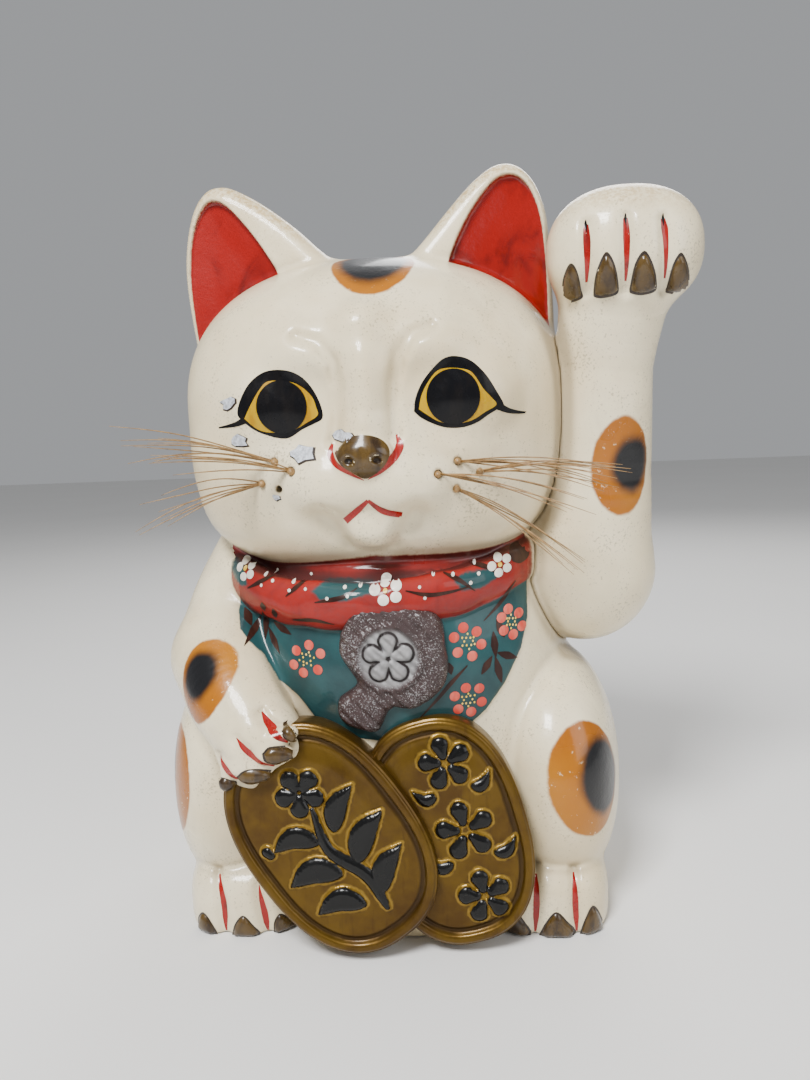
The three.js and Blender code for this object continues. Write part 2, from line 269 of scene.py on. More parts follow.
def outline_form(side, outline):
    def distance(x, y, z):
        flat = polygon_distance(x[:, 0, :], z[0, :, :], rounded(outline))[:, None, :].astype(np.float32)
        return flat, ear_depth(side, x, y)
    pts = np.array(outline)
    low = np.array([pts[:, 0].min(), -70, pts[:, 1].min()])
    high = np.array([pts[:, 0].max(), 60, pts[:, 1].max()])
    return distance, low, high


def ear(side):
    flat_depth, low, high = outline_form(side, EAR_OUTLINES[side])
    face_depth = outline_form(side, EAR_FACES[side])[0]

    def distance(x, y, z):
        flat, depth = flat_depth(x, y, z)
        thick = 17 + 30 * step01(418, 330, z)
        solid = smooth_max(flat + 2, np.abs(depth - thick / 2) - thick / 2, 13) - 2
        face = face_depth(x, y, z)[0]
        dish = depth - 3.0 - 1.5 * step01(0, -16, face)
        return smooth_max(solid, -smooth_max(face, dish, 1.5), 1.2)
    return distance, low, high


def collar_ring(x, y, z):
    """(distance out from the ring, height along it) of the tied collar, in its own tilted frame."""
    x, y, z = local(x, y, z, (-7, -1, 207), (15, -2, 0))
    q = np.sqrt((x / 88) ** 2 + (y / 83) ** 2) + 1e-6
    slope = np.sqrt((x / 88**2) ** 2 + (y / 83**2) ** 2) / q + 1e-6
    return (q - 1) / slope, z, np.arctan2(x, -y)


def collar():
    def distance(x, y, z):
        out, height, turn = collar_ring(x, y, z)
        fold = 0.8 * np.sin(turn * 9 + height * 0.35) + 0.5 * np.sin(turn * 23 - height * 0.2)
        return (np.sqrt((out / 0.75) ** 2 + height**2) - 13.2 - fold * 0.6) * 0.85
    return distance, np.array([-115, -105, 160.0]), np.array([105, 105, 255.0])


TORSO_LEVELS = [-30, 40, 95, 150, 205, 262]


def torso():
    def distance(x, y, z):
        wide = np.interp(z, TORSO_LEVELS, [110, 115, 113, 103, 90, 78]).astype(np.float32)
        cy = np.interp(z, TORSO_LEVELS, [8, 8, 9, 6, 3, 1]).astype(np.float32)
        deep = wide * 0.83
        y = y - cy
        q = np.sqrt((x / wide) ** 2 + (y / deep) ** 2) + 1e-5
        slope = np.sqrt((x / wide**2) ** 2 + (y / deep**2) ** 2) / q + 1e-6
        return np.clip((q - 1) / slope, -60, FAR)
    return distance, np.array([-118, -98, -30.0]), np.array([118, 106, 262.0])


FOOT_X = (-88, 84)


def build_fields():
    """The parts of the figure as separate fields on one grid: torso, limbs, head, collar and raised arm."""
    fields = {name: Field(BODY_LOW, BODY_HIGH) for name in ("torso", "limbs", "head", "collar", "arm")}
    trunk, limbs, head, arm = (fields[name] for name in ("torso", "limbs", "head", "arm"))
    trunk.join(torso())
    trunk.join(blob((-1, -18, 150), (84, 65, 62)), 16)
    tail = curve([(14, 98, 20), (42, 96, 34), (56, 92, 66), (44, 96, 84)])
    trunk.join(limb(tail, [12] * len(tail)), 4)
    for side in (-1, 1):
        limbs.join(blob((side * 94 - 3, -10, 74), (40, 74, 71), 2.2), 5)
    upper_arm = curve([(-74, -4, 198), (-88, -18, 176), (-97, -42, 150)])
    limbs.join(limb(upper_arm, np.linspace(38, 31, len(upper_arm))), 14)
    forearm = curve([(-97, -44, 150), (-86, -68, 134), (-72, -84, 119)])
    limbs.join(limb(forearm, np.linspace(31, 23, len(forearm))), 6)
    limbs.join(blob((-68, -90, 113), (24, 17, 20), 2.3, (0, -38, 0)), 5)
    for x in FOOT_X:
        limbs.join(blob((x, -42, 13), (35, 43, 28), 3), 3)
    head.join(blob(HEAD_AT, (111, 93, 84), 2.35), 4)
    head.join(blob((-9, -24, 246), (97, 62, 47), 2.5), 22)
    face(head)
    for side in ("left", "right"):
        head.join(ear(side), 4)
    fields["collar"].join(collar())
    arm.join(blob((90, -2, 196), (38, 36, 38)), 4)
    arm.join(blob((113, -10, 188), (40, 38, 40)), 10)
    raised = curve([(116, -14, 196), (121, -24, 250), (123, -35, 308), (127, -44, 345)])
    arm.join(limb(raised, np.interp(np.arange(len(raised)), [0, 8, 16, 24], [36, 29, 26, 29])), 10)
    arm.join(blob((131, -50, 365), (40, 34, 32), 2.3), 7)
    return fields


def face(f):
    """Eye sockets, lids and brows, the nose, the muzzle and the chin."""
    for x in (-50, 43):
        f.carve(blob((x, -101, 297), (34, 16, 36)), 4)
    for x, z in ((-47, 291.5), (42, 293.5)):
        f.join(blob((x, -72, z), (31, 20.5, 25)), 6)
    for x, z in ((-34, 315), (27, 317)):
        f.join(blob((x, -78, z), (19, 16, 12)), 11)
    bridge = [(-5.5, -82, 326), (-4, -87.5, 305), (-4.5, -88, 285), (-5, -94, 270)]
    f.join(limb(bridge, [15, 11, 9.5, 9]), 8)
    for side in (-1, 1):
        f.join(blob((side * 17 - 4.5, -84, 250), (24, 17.5, 17)), 9)
        f.carve(blob((side * 24 - 4.5, -97, 231), (10, 7.5, 4.5), 2, (0, side * 14, 0)), 6)
    f.join(blob((-4, -80, 227), (17, 15, 12)), 6)
    f.join(blob((-5, -97.5, 264.5), (14.5, 9, 10.5)), 2.5)
    for side in (-1, 1):
        f.carve(limb([(-3, -101, 241), (side * 13 - 3, -100, 233)], [1.6, 1.2]), 1.2)


# The creases beside the nose bridge: height, width of the slope, radii.
NOSE_SIDE = (-3.0, 3.4, [0, 0.6, 1, 1, 0.8, 0.3])
# Face creases and swellings: line, height, width of the slope, radii.
FACE_LINES = [
    ([(-38, 325), (-27, 321), (-19.5, 311), (-17, 298), (-18, 285), (-20.5, 273)], *NOSE_SIDE),
    ([(30, 327), (20.5, 323), (13.5, 313), (10.8, 300), (10.2, 287), (11.2, 275)], *NOSE_SIDE),
    ([(-4, 313), (-3.5, 298), (-4.5, 282)], 1.8, 5.0, [1, 1.5, 1]),
    ([(-30, 236), (-26, 229), (-19, 224)], -2.4, 4.5, [0.5, 1.5, 0.5]),
    ([(20, 237), (16, 230), (9, 225)], -2.4, 4.5, [0.5, 1.5, 0.5]),
    ([(-16, 219), (-5.5, 215.5), (6, 219)], -1.8, 3.6, [0.3, 1, 0.3]),
]


def trace(f, line, height, slope, radii, reach=14):
    """Raises (or sinks) the front of a field along a line of (x, z) points."""
    low, high = np.min(line, 0) - reach, np.max(line, 0) + reach

    def rise(x, y, z):
        d = np.clip(stroke_distance(x[:, :, 0], z[0, :, :], line, radii), 0, 40)
        return (height * np.exp(-(d / slope) ** 2))[:, None, :].astype(np.float32)
    f.raise_by((low[0], -126, low[1]), (high[0], -52, high[1]), rise)


def combine(fields):
    """Joins the parts: the figure without its raised arm, the whole figure, and what is hollow inside."""
    d = {name: field.d for name, field in fields.items()}
    bare = smooth_min(d["torso"], d["limbs"], 5)
    bare = smooth_min(bare, d["head"], 5)
    body = smooth_min(bare, d["collar"], 1.6)
    everything = smooth_min(body, d["arm"], 5)
    return body, everything, bare


# ---------------------------------------------------------------- painted outlines, (x, z) in mm
BIB = [(-83.5, 205), (-85, 180), (-82.8, 171), (-76.6, 164), (-70, 158), (-64, 149.5), (-60, 143.5),
       (-55.3, 139.5), (-50, 135.5), (-45.5, 130.5), (-41, 124.5), (-34, 119), (-18, 114), (0, 112),
       (22, 112.5), (39.4, 116), (52, 125.3), (62.7, 138.3), (72.4, 155.2), (77, 171), (78, 205)]
TEALS = [
    [(-95, 208), (-92, 209.6), (-81.6, 205), (-77.3, 195), (-83, 194), (-91, 200)],
    [(-37.6, 195), (-32, 199), (-22, 199.5), (-6.5, 198.5), (-5.5, 193.7), (-20, 190), (-33, 190.4)],
    [(37, 198), (42.7, 201), (57, 201.5), (62, 197.5), (51, 192), (41, 192)],
]
BRUSHED_BLOT = [(67, 206), (68.3, 211), (73.2, 212.3), (78.4, 209), (78.6, 204), (73.8, 201.4), (69.2, 203)]
# Spots: centre, half width and half height of the orange, then the same of the black inside it.
SPOTS = [
    ((-99, -86, 149.5), 18, 23, (-102, -84, 150.5), 12, 14),
    ((-126, -55, 82), 27, 31, (-133, -46, 84), 15, 20),
    ((107, -75, 86), 23.5, 31, (113, -70, 86), 16.5, 21),
    ((129.5, -52, 252.5), 16.5, 27, (134.5, -50, 253.5), 11.5, 15.5),
    ((-58, 82, 250), 26, 22, (-60, 82, 251), 16, 13),
    ((62, 92, 130), 30, 34, (64, 92, 131), 19, 22),
    ((-74, 84, 66), 24, 27, (-75, 84, 67), 14, 16),
]
# The spot on top of the head: (x, y), half sizes of the orange, half sizes of the black.
CROWN = ((-1, -54), 22, 27, 18, 22)
EYES = [
    dict(rim=[(-68, 284.5), (-70.5, 288), (-68.5, 294.5), (-63.5, 302.5), (-57, 307.5), (-50, 309),
              (-41.5, 308), (-35, 304.5), (-30, 298), (-26.5, 290), (-26, 284), (-30.5, 281.5),
              (-36.5, 279), (-43.5, 275), (-49, 275), (-54.5, 276.5), (-61.5, 279.5)],
         iris=[(-66.5, 285.5), (-62.5, 292), (-57, 300), (-52.5, 303.5), (-43, 303), (-36.5, 300.5),
               (-31, 295), (-29, 289.5), (-28.5, 285.5), (-34.5, 282), (-42, 278.5), (-53, 278),
               (-60, 280)],
         pupil=((-46.5, 290.5), 12.8, 13.2),
         lash=[(-66, 285), (-71, 283.2), (-77.5, 282.2), (-85, 281.6)]),
    dict(rim=[(20, 285.5), (21, 292), (24.5, 299.5), (30.5, 306.5), (36.5, 311), (43, 311.5), (49.5, 309),
              (56, 302.5), (61, 294.5), (65, 287), (62.5, 285.5), (57, 282.5), (51.5, 279), (44.5, 276.8),
              (36.5, 276.8), (30, 278.8), (23.5, 282.2)],
         iris=[(22.5, 286.5), (24, 293), (27.5, 299.5), (32.5, 305), (39, 306), (47, 304.7), (50.5, 302),
               (54.5, 295.5), (58.5, 291), (61, 287.3), (55.5, 284), (48.5, 280), (40.5, 278.7),
               (32.5, 280), (26, 284)],
         pupil=((39.8, 292), 13.2, 13.6),
         lash=[(62, 286.5), (67.5, 284.2), (73, 283.3), (78.5, 283.2)]),
]
NOSE = [(-19.5, 266.5), (-17, 271), (-12, 274), (-3.7, 274.7), (2.6, 273), (6.8, 269.4), (7.8, 265),
        (5.3, 259.7), (-0.2, 255.3), (-5, 253.4), (-10, 256.3), (-16, 260.5)]
NOSTRILS = (-12.2, 1.8)
# Nose wings and mouth: line, half widths, height above the glaze.
RED_LINES = [
    ([(-21.3, 271.5), (-22, 266), (-18.5, 260.5), (-11.5, 256), (-5.5, 252.6)],
     [0.5, 1.7, 1.5, 0.9, 0.2], 0.16),
    ([(11, 274.5), (12.6, 269), (9.5, 263), (3.5, 257), (-3.5, 252.9)], [0.5, 2.1, 2.0, 1.0, 0.2], 0.16),
    ([(-4.2, 242.3), (-10, 237.4), (-17, 231.8)], [0.9, 1.6, 1.8], 0.16),
    ([(-4.2, 242.3), (2.5, 236.8), (11.8, 233.8)], [0.9, 1.7, 1.6], 0.17),
]
LASH_TICKS = (68, 90, 112)
CHIPS = [((-76.4, 294), 3.2), ((-71, 274), 3.6), ((-37.8, 267), 4.6), ((-15.5, 274.5), 3.4),
         ((-52.5, 245), 1.6)]
# Bib flowers: middle, petals.
CORALS = [
    ((-43.4, 156.8), [(-42, 164), (-35.4, 160), (-37.2, 151.3), (-45.7, 149), (-51.3, 152.8),
                      (-49.5, 160.5)]),
    ((43.7, 164), [(41, 171.2), (48, 168.3), (50.3, 161.5), (45.3, 156), (37.7, 158.8), (36, 166.7)]),
    ((67, 170.5), [(65.7, 177.2), (71.6, 174), (73.2, 166.8), (68, 163.5), (62.8, 166.6), (61.8, 173.4)]),
    ((42.3, 132.6), [(41.4, 139.3), (48.5, 138), (49.6, 130.3), (43.8, 125.6), (37, 128), (35.4, 135.4)]),
]
# Collar flowers: middle, size, petals.
WHITES = [
    ((1.6, 194.6), 2.9, [(1.2, 199), (7.2, 197), (7, 191.5), (0.6, 190.2), (-3.9, 195.2)]),
    ((-79.9, 203.2), 2.3, [(-82, 206.8), (-76.6, 205), (-76, 200.6), (-80.4, 199.2), (-84.4, 203.4)]),
    ((61.6, 202.4), 2.4, [(60.8, 206), (65.6, 205), (65.6, 200.4), (60.8, 198.6), (57.2, 202.2)]),
]
DOTS = [(-62, 202), (-66.4, 201), (-61, 198.6), (-67.7, 196), (-40.7, 201), (-48.6, 198.5), (-41, 195.7),
        (-50.5, 194.5), (-19.6, 196.7), (-11.5, 197.4), (-29, 191.3), (-18, 192.6), (26.3, 201.3),
        (19.2, 195.6), (36.5, 200.5), (48, 204.8), (50, 199.7), (45.6, 195.6), (21.8, 190)]
TWIGS = [
    [(-77.4, 193.4), (-66.8, 198.6), (-61.2, 201)], [(-52.6, 191.3), (-45.3, 197.2), (-40.7, 200.2)],
    [(-36, 189), (-21.2, 192), (-13, 196.3)], [(12, 194.3), (23, 191.6), (34, 192), (46.7, 194)],
    [(31.5, 201.8), (39.8, 197.6), (48, 191)], [(45.8, 204.7), (54.2, 202.5), (61.3, 197.5)],
    [(-51.2, 178.4), (-36.8, 179.2), (-26, 177.2)], [(70.4, 192.7), (62.8, 182.6), (52, 173.2)],
    [(42.6, 151.4), (33.8, 143), (26.5, 135), (16.2, 124.4)],
]
LEAVES = [
    [(-69, 181), (-69.6, 164)], [(-64, 174), (-52.5, 168.5)], [(-67.4, 170.5), (-60, 157.5)],
    [(-61, 184), (-60.4, 178)], [(-67.7, 187), (-67.4, 181.5)], [(-82, 181), (-77.5, 171.5)],
    [(57, 167), (58, 153)], [(50, 145.5), (56, 154.5)], [(60.7, 139), (57.6, 154)],
    [(59, 155.6), (70, 150.5)], [(32.6, 154), (34, 147.5)], [(-73, 176), (-79, 163)],
    [(63, 163), (59, 173)],
]
# Grooves between the toes, painted red. Those above PAW_LEVEL are on the raised paw.
PAW_LEVEL = 300
TOE_LINES = [
    [(107.9, 373.6), (108.7, 344)], [(126.3, 374.6), (127.1, 342.5)],
    [(144.4, 373.6), (145.7, 363), (146.7, 342)], [(-65, 134), (-59, 127.2), (-50.3, 120.4)],
    [(-77.2, 122.7), (-70.7, 115.3), (-58.7, 106.8)], [(-87.5, 112), (-82.5, 105.5), (-76.5, 100)],
    [(-100.9, 33.5), (-97.2, 19.4), (-97, 2)], [(-77.3, 28), (-74.5, 13), (-73.5, 1.5)],
    [(76.5, 35.4), (76.1, 19.7), (75.1, 2)], [(97, 34), (97, 19), (97.6, 2)],
]
CLAWS = [
    [(98.3, 343.5), (98.3, 350), (100.4, 354.5), (102.8, 352.5), (105.6, 345), (106.6, 341), (103, 339.8),
     (99.6, 340.4)],
    [(112.7, 342.4), (113.2, 350), (116.4, 357), (119.6, 353.6), (122.2, 346), (122.6, 341),
     (117.3, 339.6), (113.2, 340.4)],
    [(130.1, 342.4), (131.3, 351.8), (134.8, 356.5), (138.2, 352.2), (141, 345.4), (141.3, 341.4),
     (135.5, 339.8), (130.8, 340.7)],
    [(149.2, 342.2), (150.2, 350.8), (153.3, 355.7), (156.7, 352), (159.6, 346), (160, 342),
     (155.5, 340.4), (150, 341)],
    [(-53, 128), (-49.5, 128.5), (-46.5, 125), (-45.5, 120), (-48.5, 119.5), (-52, 124)],
    [(-62, 115.5), (-58.5, 118.3), (-51, 117.5), (-46.8, 113.5), (-51.3, 110.8), (-57, 109.3),
     (-61, 111.5)],
    [(-77.4, 102), (-72.4, 106), (-64.8, 105.8), (-59.8, 102.5), (-66, 99), (-74.5, 97.5)],
    [(-89.5, 98.5), (-85.5, 100.5), (-80.5, 98), (-81.5, 94.5), (-86.5, 93.5)],
    [(-114.5, 1), (-113, 8), (-109.5, 11.8), (-105.5, 8), (-103.5, 1)],
    [(-92.5, 1), (-90, 8), (-86, 12), (-82, 8), (-79, 1)],
    [(-69.5, 1), (-68.8, 7), (-66, 11), (-62, 7), (-58.5, 1)],
    [(54, 1), (58, 10), (63, 13.5), (67, 11), (71, 1)],
    [(78.4, 1), (81.5, 9), (86.2, 14.3), (91, 10), (95.2, 1)],
    [(100.2, 1), (102.5, 9.5), (106.2, 15.5), (110, 10), (111.4, 1)],
]
# Node, hole (x, z), reach of the bristles and their number.
WHISKERS = [
    ("whisker_left_upper", (-52, 263), (-68, -28, 12), 7),
    ("whisker_left_inner", (-43, 258), (-66, -30, 9), 6),
    ("whisker_left_lower", (-60, 252), (-55, -25, -16), 7),
    ("whisker_right_inner", (31, 254), (72, -26, -20), 6),
    ("whisker_right_upper", (41, 260), (78, -25, -6), 7),
    ("whisker_right_outer", (52, 254), (70, -24, -2), 7),
    ("whisker_right_lower", (40, 246), (62, -28, -42), 7),
]
EMPTY_HOLE = (-51, 249)

# A coin's middle, half width, half length, thickness, and its lean sideways and backwards in degrees.
FRONT_COIN = ((-32, -94, 65.5), 44.5, 63.5, 20, -36, -5)
REAR_COIN = ((30, -88, 65.5), 41, 60, 18, -15, -5)
COIN_POWER = 2.4
# Root and tip of each finger of the lowered paw, (x, z).
FINGERTIPS = [((-58, 121), (-48.5, 124.5)), ((-63, 114), (-51, 114)), ((-77, 106), (-65, 103.5)),
              ((-82, 108), (-85, 97))]
# How far the paw reaches over the end of the front coin.
PAW_GRIP = 18


def coin_space(at, half_wide, half_long, thick, lean, lean_back):
    """What a coin hides of the figure, less the end where the paw's fingertips lie over its rim."""
    def distance(x, y, z):
        u, w, v = local(x, y, z, at, (lean_back, lean, 0))
        v = v + np.clip(v, 0, PAW_GRIP)
        q = (np.abs(u / half_wide) ** COIN_POWER + np.abs(v / half_long) ** COIN_POWER) ** (1 / COIN_POWER)
        return np.maximum((q - 1.012) * half_wide, w - thick / 2 - 0.5)
    reach = half_long + 4
    return distance, np.subtract(at, (reach, 34, reach)), np.add(at, (reach, thick, reach))


def detail(fields):
    """Relief that follows the painting, the front coin's bed, the fingertips over it, and whisker holes."""
    trunk, limbs, head, paw = (fields[name] for name in ("torso", "limbs", "head", "arm"))
    trunk.raise_by((-90, -100, 105), (85, -20, 212), lambda x, y, z: 1.3 * step01(
        0.9, -0.9, polygon_distance(x[:, :, 0], z[0, :, :], BIB))[:, None, :].astype(np.float32))
    for line in TOE_LINES:
        radii = np.interp(np.arange(len(line)), [0, (len(line) - 1) / 2, len(line) - 1], [0.2, 1.0, 0.8])
        trace(paw if line[0][1] > PAW_LEVEL else limbs, line, -2.6, 2.83, radii, 8)
    for line, height, slope, radii in FACE_LINES:
        trace(head, line, height, slope, radii)
    for x in NOSTRILS:
        head.carve(blob((x, -106, 262.5), (3.0, 4.5, 2.3)), 1.2)
    head.carve(limb([(-5.2, -107.5, 268), (-5.2, -107, 257)], [1.3, 1.0]), 1.5)
    roots = limbs.drop(np.array([root for root, _ in FINGERTIPS], float))
    limbs.carve(coin_space(*FRONT_COIN), 0.4)
    for (x, y, z), (_, (tip_x, tip_z)) in zip(roots, FINGERTIPS):
        limbs.join(limb([(x, y + 3, z), (tip_x, y + 2.5, tip_z)], [6.0, 3.4]), 2.5)
    for _, (x, z), _, _ in WHISKERS:
        head.carve(blob((x, -93, z), (2.0, 12, 2.0)), 0.6)
    head.carve(blob((EMPTY_HOLE[0], -90, EMPTY_HOLE[1]), (1.9, 12, 1.9)), 0.6)


fields = build_fields()
detail(fields)
body_d, all_d, hollow_d = combine(fields)
arm_d = fields["arm"].d
level = fields["head"].axes[2][None, None, :]


def as_field(d):
    f = Field(BODY_LOW, BODY_HIGH)
    f.d = d.astype(np.float32)
    return f


# The whole figure, the raised arm, the hollow inside, the figure without the arm, and its shell.
solid = as_field(all_d)
arm = as_field(smooth_max(all_d, arm_d - body_d, 0))
cavity = as_field(hollow_d + WALL)
whole = as_field(smooth_max(smooth_max(all_d, body_d - arm_d, 0), -level, 2.5))
shell = as_field(np.maximum(whole.d, -cavity.d))
SLOT = ((-28, 60, 297.5), (16, 125, 302.5))
slot_middle = np.mean(SLOT, 0)
shell.carve(blob(slot_middle, np.subtract(SLOT[1], SLOT[0]) / 2, 12), 0.8)


# Painted distances that mean "not here", and how deep a spot still counts as the same surface.
OUTSIDE, BEHIND, SPOT_DEPTH = 40, 400, 30
COLLAR_LEVELS, EAR_WEAR_LEVELS, CROWN_LEVEL = (190, 232), (372, 398), 335


def spot_distance(points, at, wide, tall):
    """Signed distance to an oval lying on the surface at a point."""
    at = np.array(at, float)
    normal = solid.normals(at[None], 4)[0]
    across = np.cross(normal, (0, 0, 1))
    across /= np.linalg.norm(across)
    up = np.cross(across, normal)
    rel = points - at
    q = np.hypot(rel @ across / wide, rel @ up / tall)
    beyond = np.clip(np.abs(rel @ normal) - SPOT_DEPTH, 0, 99)
    return (q - 1) * min(wide, tall) + beyond * 3


def painting(points, normals):
    """The attributes that the glaze reads: signed distances to painted areas, in mm."""
    x, y, z = points.T
    front = np.where(y < -15, 0, BEHIND)
    # How open the surface is 5 and 12 mm out along its normal: hemmed-in places are where the glaze puts
    # grime and painted shade.
    low = [solid.sample(points + normals * reach) / reach for reach in (5.0, 12.0)]
    ears = np.full(len(x), float(OUTSIDE))
    for side, outline in EAR_FACES.items():
        depth = ear_depth(side, x, y)
        ears = np.minimum(ears, np.maximum(polygon_distance(x, z, rounded(outline)), np.abs(depth - 2) - 7))
    out, height_on_ring, _ = collar_ring(x, y, z)
    above = (height_on_ring > 0) & (out < 3) & (z > COLLAR_LEVELS[0]) & (z < COLLAR_LEVELS[1])
    neck = np.where(above, 0.5 - fields["head"].sample(points), OUTSIDE)
    collar = np.minimum(fields["collar"].sample(points) - 0.25, neck)
    orange = np.min([spot_distance(points, at, a, b) for at, a, b, _, _, _ in SPOTS], 0)
    black = np.min([spot_distance(points, at, a, b) for _, _, _, at, a, b in SPOTS], 0)
    (cx, cy), ow, od, kw, kd = CROWN
    top = np.where(z > CROWN_LEVEL, 0, OUTSIDE)
    crown = (np.hypot((x - cx) / kw, (y - cy - 2) / kd) - 1) * kw + top
    crown_ring = (np.hypot((x - cx) / ow, (y - cy) / od) - 1) * ow + top
    worn = step01(*EAR_WEAR_LEVELS, z) * step01(-0.1, 0.6, normals[:, 2])
    inside = (cavity.sample(points) < 1.2) & (whole.sample(points) < -1.5)
    return {
        "ear": ears,
        "bib": polygon_distance(x, z, BIB) + front,
        "collar": collar,
        "teal": np.min([polygon_distance(x, z, teal) for teal in TEALS], 0) + front,
        "orange": np.minimum(orange, crown_ring),
        "black": np.minimum(black, crown),
        "worn": worn,
        # Near 1 deep in creases, where the glaze paints grime and shade.
        "crease_shade": np.clip(1 - np.minimum(low[0], low[1]), 0, 1),
        "inside": inside.astype(float),
    }


def make_object(name, points, faces, normals, attributes, material):
    """A smooth mesh from points in drawn millimetres, with values per vertex for its material to read."""
    mesh = bpy.data.meshes.new(name)
    mesh.from_pydata((np.asarray(points) * UNIT).tolist(), [], [list(map(int, f)) for f in faces])
    mesh.update()
    mesh.polygons.foreach_set("use_smooth", [True] * len(mesh.polygons))
    for key, values in (attributes or {}).items():
        layer = mesh.attributes.new(key, "FLOAT", "POINT")
        layer.data.foreach_set("value", np.asarray(values, np.float32))
    if normals is not None:
        mesh.normals_split_custom_set_from_vertices(np.asarray(normals).tolist())
    obj = bpy.data.objects.new(name, mesh)
    mesh.materials.append(material)
    bpy.context.collection.objects.link(obj)
    return obj


def part_of(quads, keep):
    """The vertices that the chosen faces use, and those faces numbered by them."""
    quads = quads[keep]
    used, faces = np.unique(quads, return_inverse=True)
    return used, faces.reshape(quads.shape)


def cut_at_seam(points, quads):
    """Moves the vertices next to the mould seam onto it, and says which faces lie in front."""
    side = points[:, 1] < SEAM_Y
    mixed = quads[side[quads].any(1) & ~side[quads].all(1)]
    near = np.unique(mixed)
    near = near[np.abs(points[near, 1] - SEAM_Y) < 0.75 * GRID]
    points[near, 1] = SEAM_Y
    return points[quads, 1].mean(1) < SEAM_Y


# ---------------------------------------------------------------- materials
class Paint:
    """A node material, written as expressions. Distances in millimetres come from mesh attributes."""

    def __init__(self, name, **sockets):
        self.material = bpy.data.materials.new(name)
        self.material.use_nodes = True
        self.tree = self.material.node_tree
        self.shader = self.tree.nodes["Principled BSDF"]
        for key, value in sockets.items():
            self.shader.inputs[key.replace("_", " ")].default_value = value
        self.place = self.tree.nodes.new("ShaderNodeTexCoord").outputs["Object"]

    def put(self, value, socket):
        if isinstance(value, bpy.types.NodeSocket):
            self.tree.links.new(value, socket)
        elif isinstance(value, tuple) and len(value) == 3 and socket.type == "RGBA":
            socket.default_value = (*value, 1)
        else:
            socket.default_value = value

    def math(self, kind, a, b=0.0):
        node = self.tree.nodes.new("ShaderNodeMath")
        node.operation = kind
        self.put(a, node.inputs[0])
        self.put(b, node.inputs[1])
        return node.outputs[0]

    def times(self, a, b):
        return self.math("MULTIPLY", a, b)

    def plus(self, a, b):
        return self.math("ADD", a, b)

    def minus(self, a, b):
        return self.math("SUBTRACT", a, b)

    def noise(self, scale, detail=3.0, rough=0.55, stretch=None, turn=(0, 0, 0), distort=0.0):
        node = self.tree.nodes.new("ShaderNodeTexNoise")
        node.inputs["Scale"].default_value = scale
        node.inputs["Detail"].default_value = detail
        node.inputs["Roughness"].default_value = rough
        node.inputs["Distortion"].default_value = distort
        place = self.place
        if stretch:
            mapping = self.tree.nodes.new("ShaderNodeMapping")
            mapping.inputs["Scale"].default_value = stretch
            mapping.inputs["Rotation"].default_value = [math.radians(v) for v in turn]
            self.tree.links.new(place, mapping.inputs["Vector"])
            place = mapping.outputs["Vector"]
        self.tree.links.new(place, node.inputs["Vector"])
        return node.outputs["Fac"]

    def attribute(self, name):
        node = self.tree.nodes.new("ShaderNodeAttribute")
        node.attribute_name = name
        return node.outputs["Fac"]

    def span(self, value, low, high, to_low=0.0, to_high=1.0):
        node = self.tree.nodes.new("ShaderNodeMapRange")
        node.interpolation_type = "SMOOTHSTEP"
        numbers = {"From Min": low, "From Max": high, "To Min": to_low, "To Max": to_high}
        for socket, number in numbers.items():
            node.inputs[socket].default_value = number
        self.put(value, node.inputs["Value"])
        return node.outputs[0]

    def mix(self, share, a, b):
        node = self.tree.nodes.new("ShaderNodeMix")
        node.data_type = "RGBA"
        self.put(share, node.inputs[0])
        self.put(a, node.inputs[6])
        self.put(b, node.inputs[7])
        return node.outputs[2]

    def uneven(self, value, noise, amount):
        """A value that a noise moves up and down."""
        return self.plus(value, self.times(self.minus(noise, 0.5), amount))

    def area(self, name, soft, wobble, amount):
        """1 inside the painted area, with an uneven brushed edge."""
        return self.span(self.uneven(self.attribute(name), wobble, amount), soft, -soft)

    def bump(self, value, distance, strength=1.0, onto=None):
        node = self.tree.nodes.new("ShaderNodeBump")
        node.inputs["Distance"].default_value = distance
        node.inputs["Strength"].default_value = strength
        self.put(value, node.inputs["Height"])
        if onto is not None:
            self.tree.links.new(onto, node.inputs["Normal"])
        return node.outputs[0]

    def done(self, colour, rough, normal=None, metal=None):
        self.put(colour, self.shader.inputs["Base Color"])
        self.put(rough, self.shader.inputs["Roughness"])
        if normal is not None:
            self.put(normal, self.shader.inputs["Normal"])
        if metal is not None:
            self.put(metal, self.shader.inputs["Metallic"])
        return self.material


# The third colour here is the dark brown of the dust specks, and of the creases where it is grime and
# painted shade.
CREAM, CREAM_DARK, GRIME_AND_SHADE = (0.82, 0.72, 0.50), (0.70, 0.58, 0.36), (0.26, 0.20, 0.12)
RED, DARK_RED = (0.25, 0.003, 0.001), (0.10, 0.002, 0.001)
ORANGE, ORANGE_PALE, SOOT = (0.29, 0.082, 0.0002), (0.38, 0.140, 0.0004), (0.004, 0.004, 0.005)
TEAL, TEAL_DARK, SCARLET = (0.009, 0.060, 0.064), (0.004, 0.028, 0.032), (0.26, 0.006, 0.002)
CLAY, CLAY_DARK = (0.52, 0.38, 0.24), (0.40, 0.27, 0.16)
CORAL, CORAL_PALE = (0.52, 0.045, 0.028), (0.62, 0.12, 0.08)
OCHRE, OCHRE_PALE = (0.70, 0.44, 0.02), (0.82, 0.60, 0.18)
WHITE, WHITE_DULL = (0.80, 0.76, 0.66), (0.60, 0.56, 0.50)
PLASTER, PLASTER_DARK = (0.60, 0.63, 0.69), (0.30, 0.31, 0.34)
IRIS, IRIS_DARK = (0.43, 0.26, 0.0004), (0.33, 0.16, 0.0004)
SOOT_PALE, UMBER = (0.007, 0.006, 0.006), (0.022, 0.014, 0.010)
BRONZE_DARK, TWIG = (0.024, 0.012, 0.004), (0.022, 0.008, 0.006)


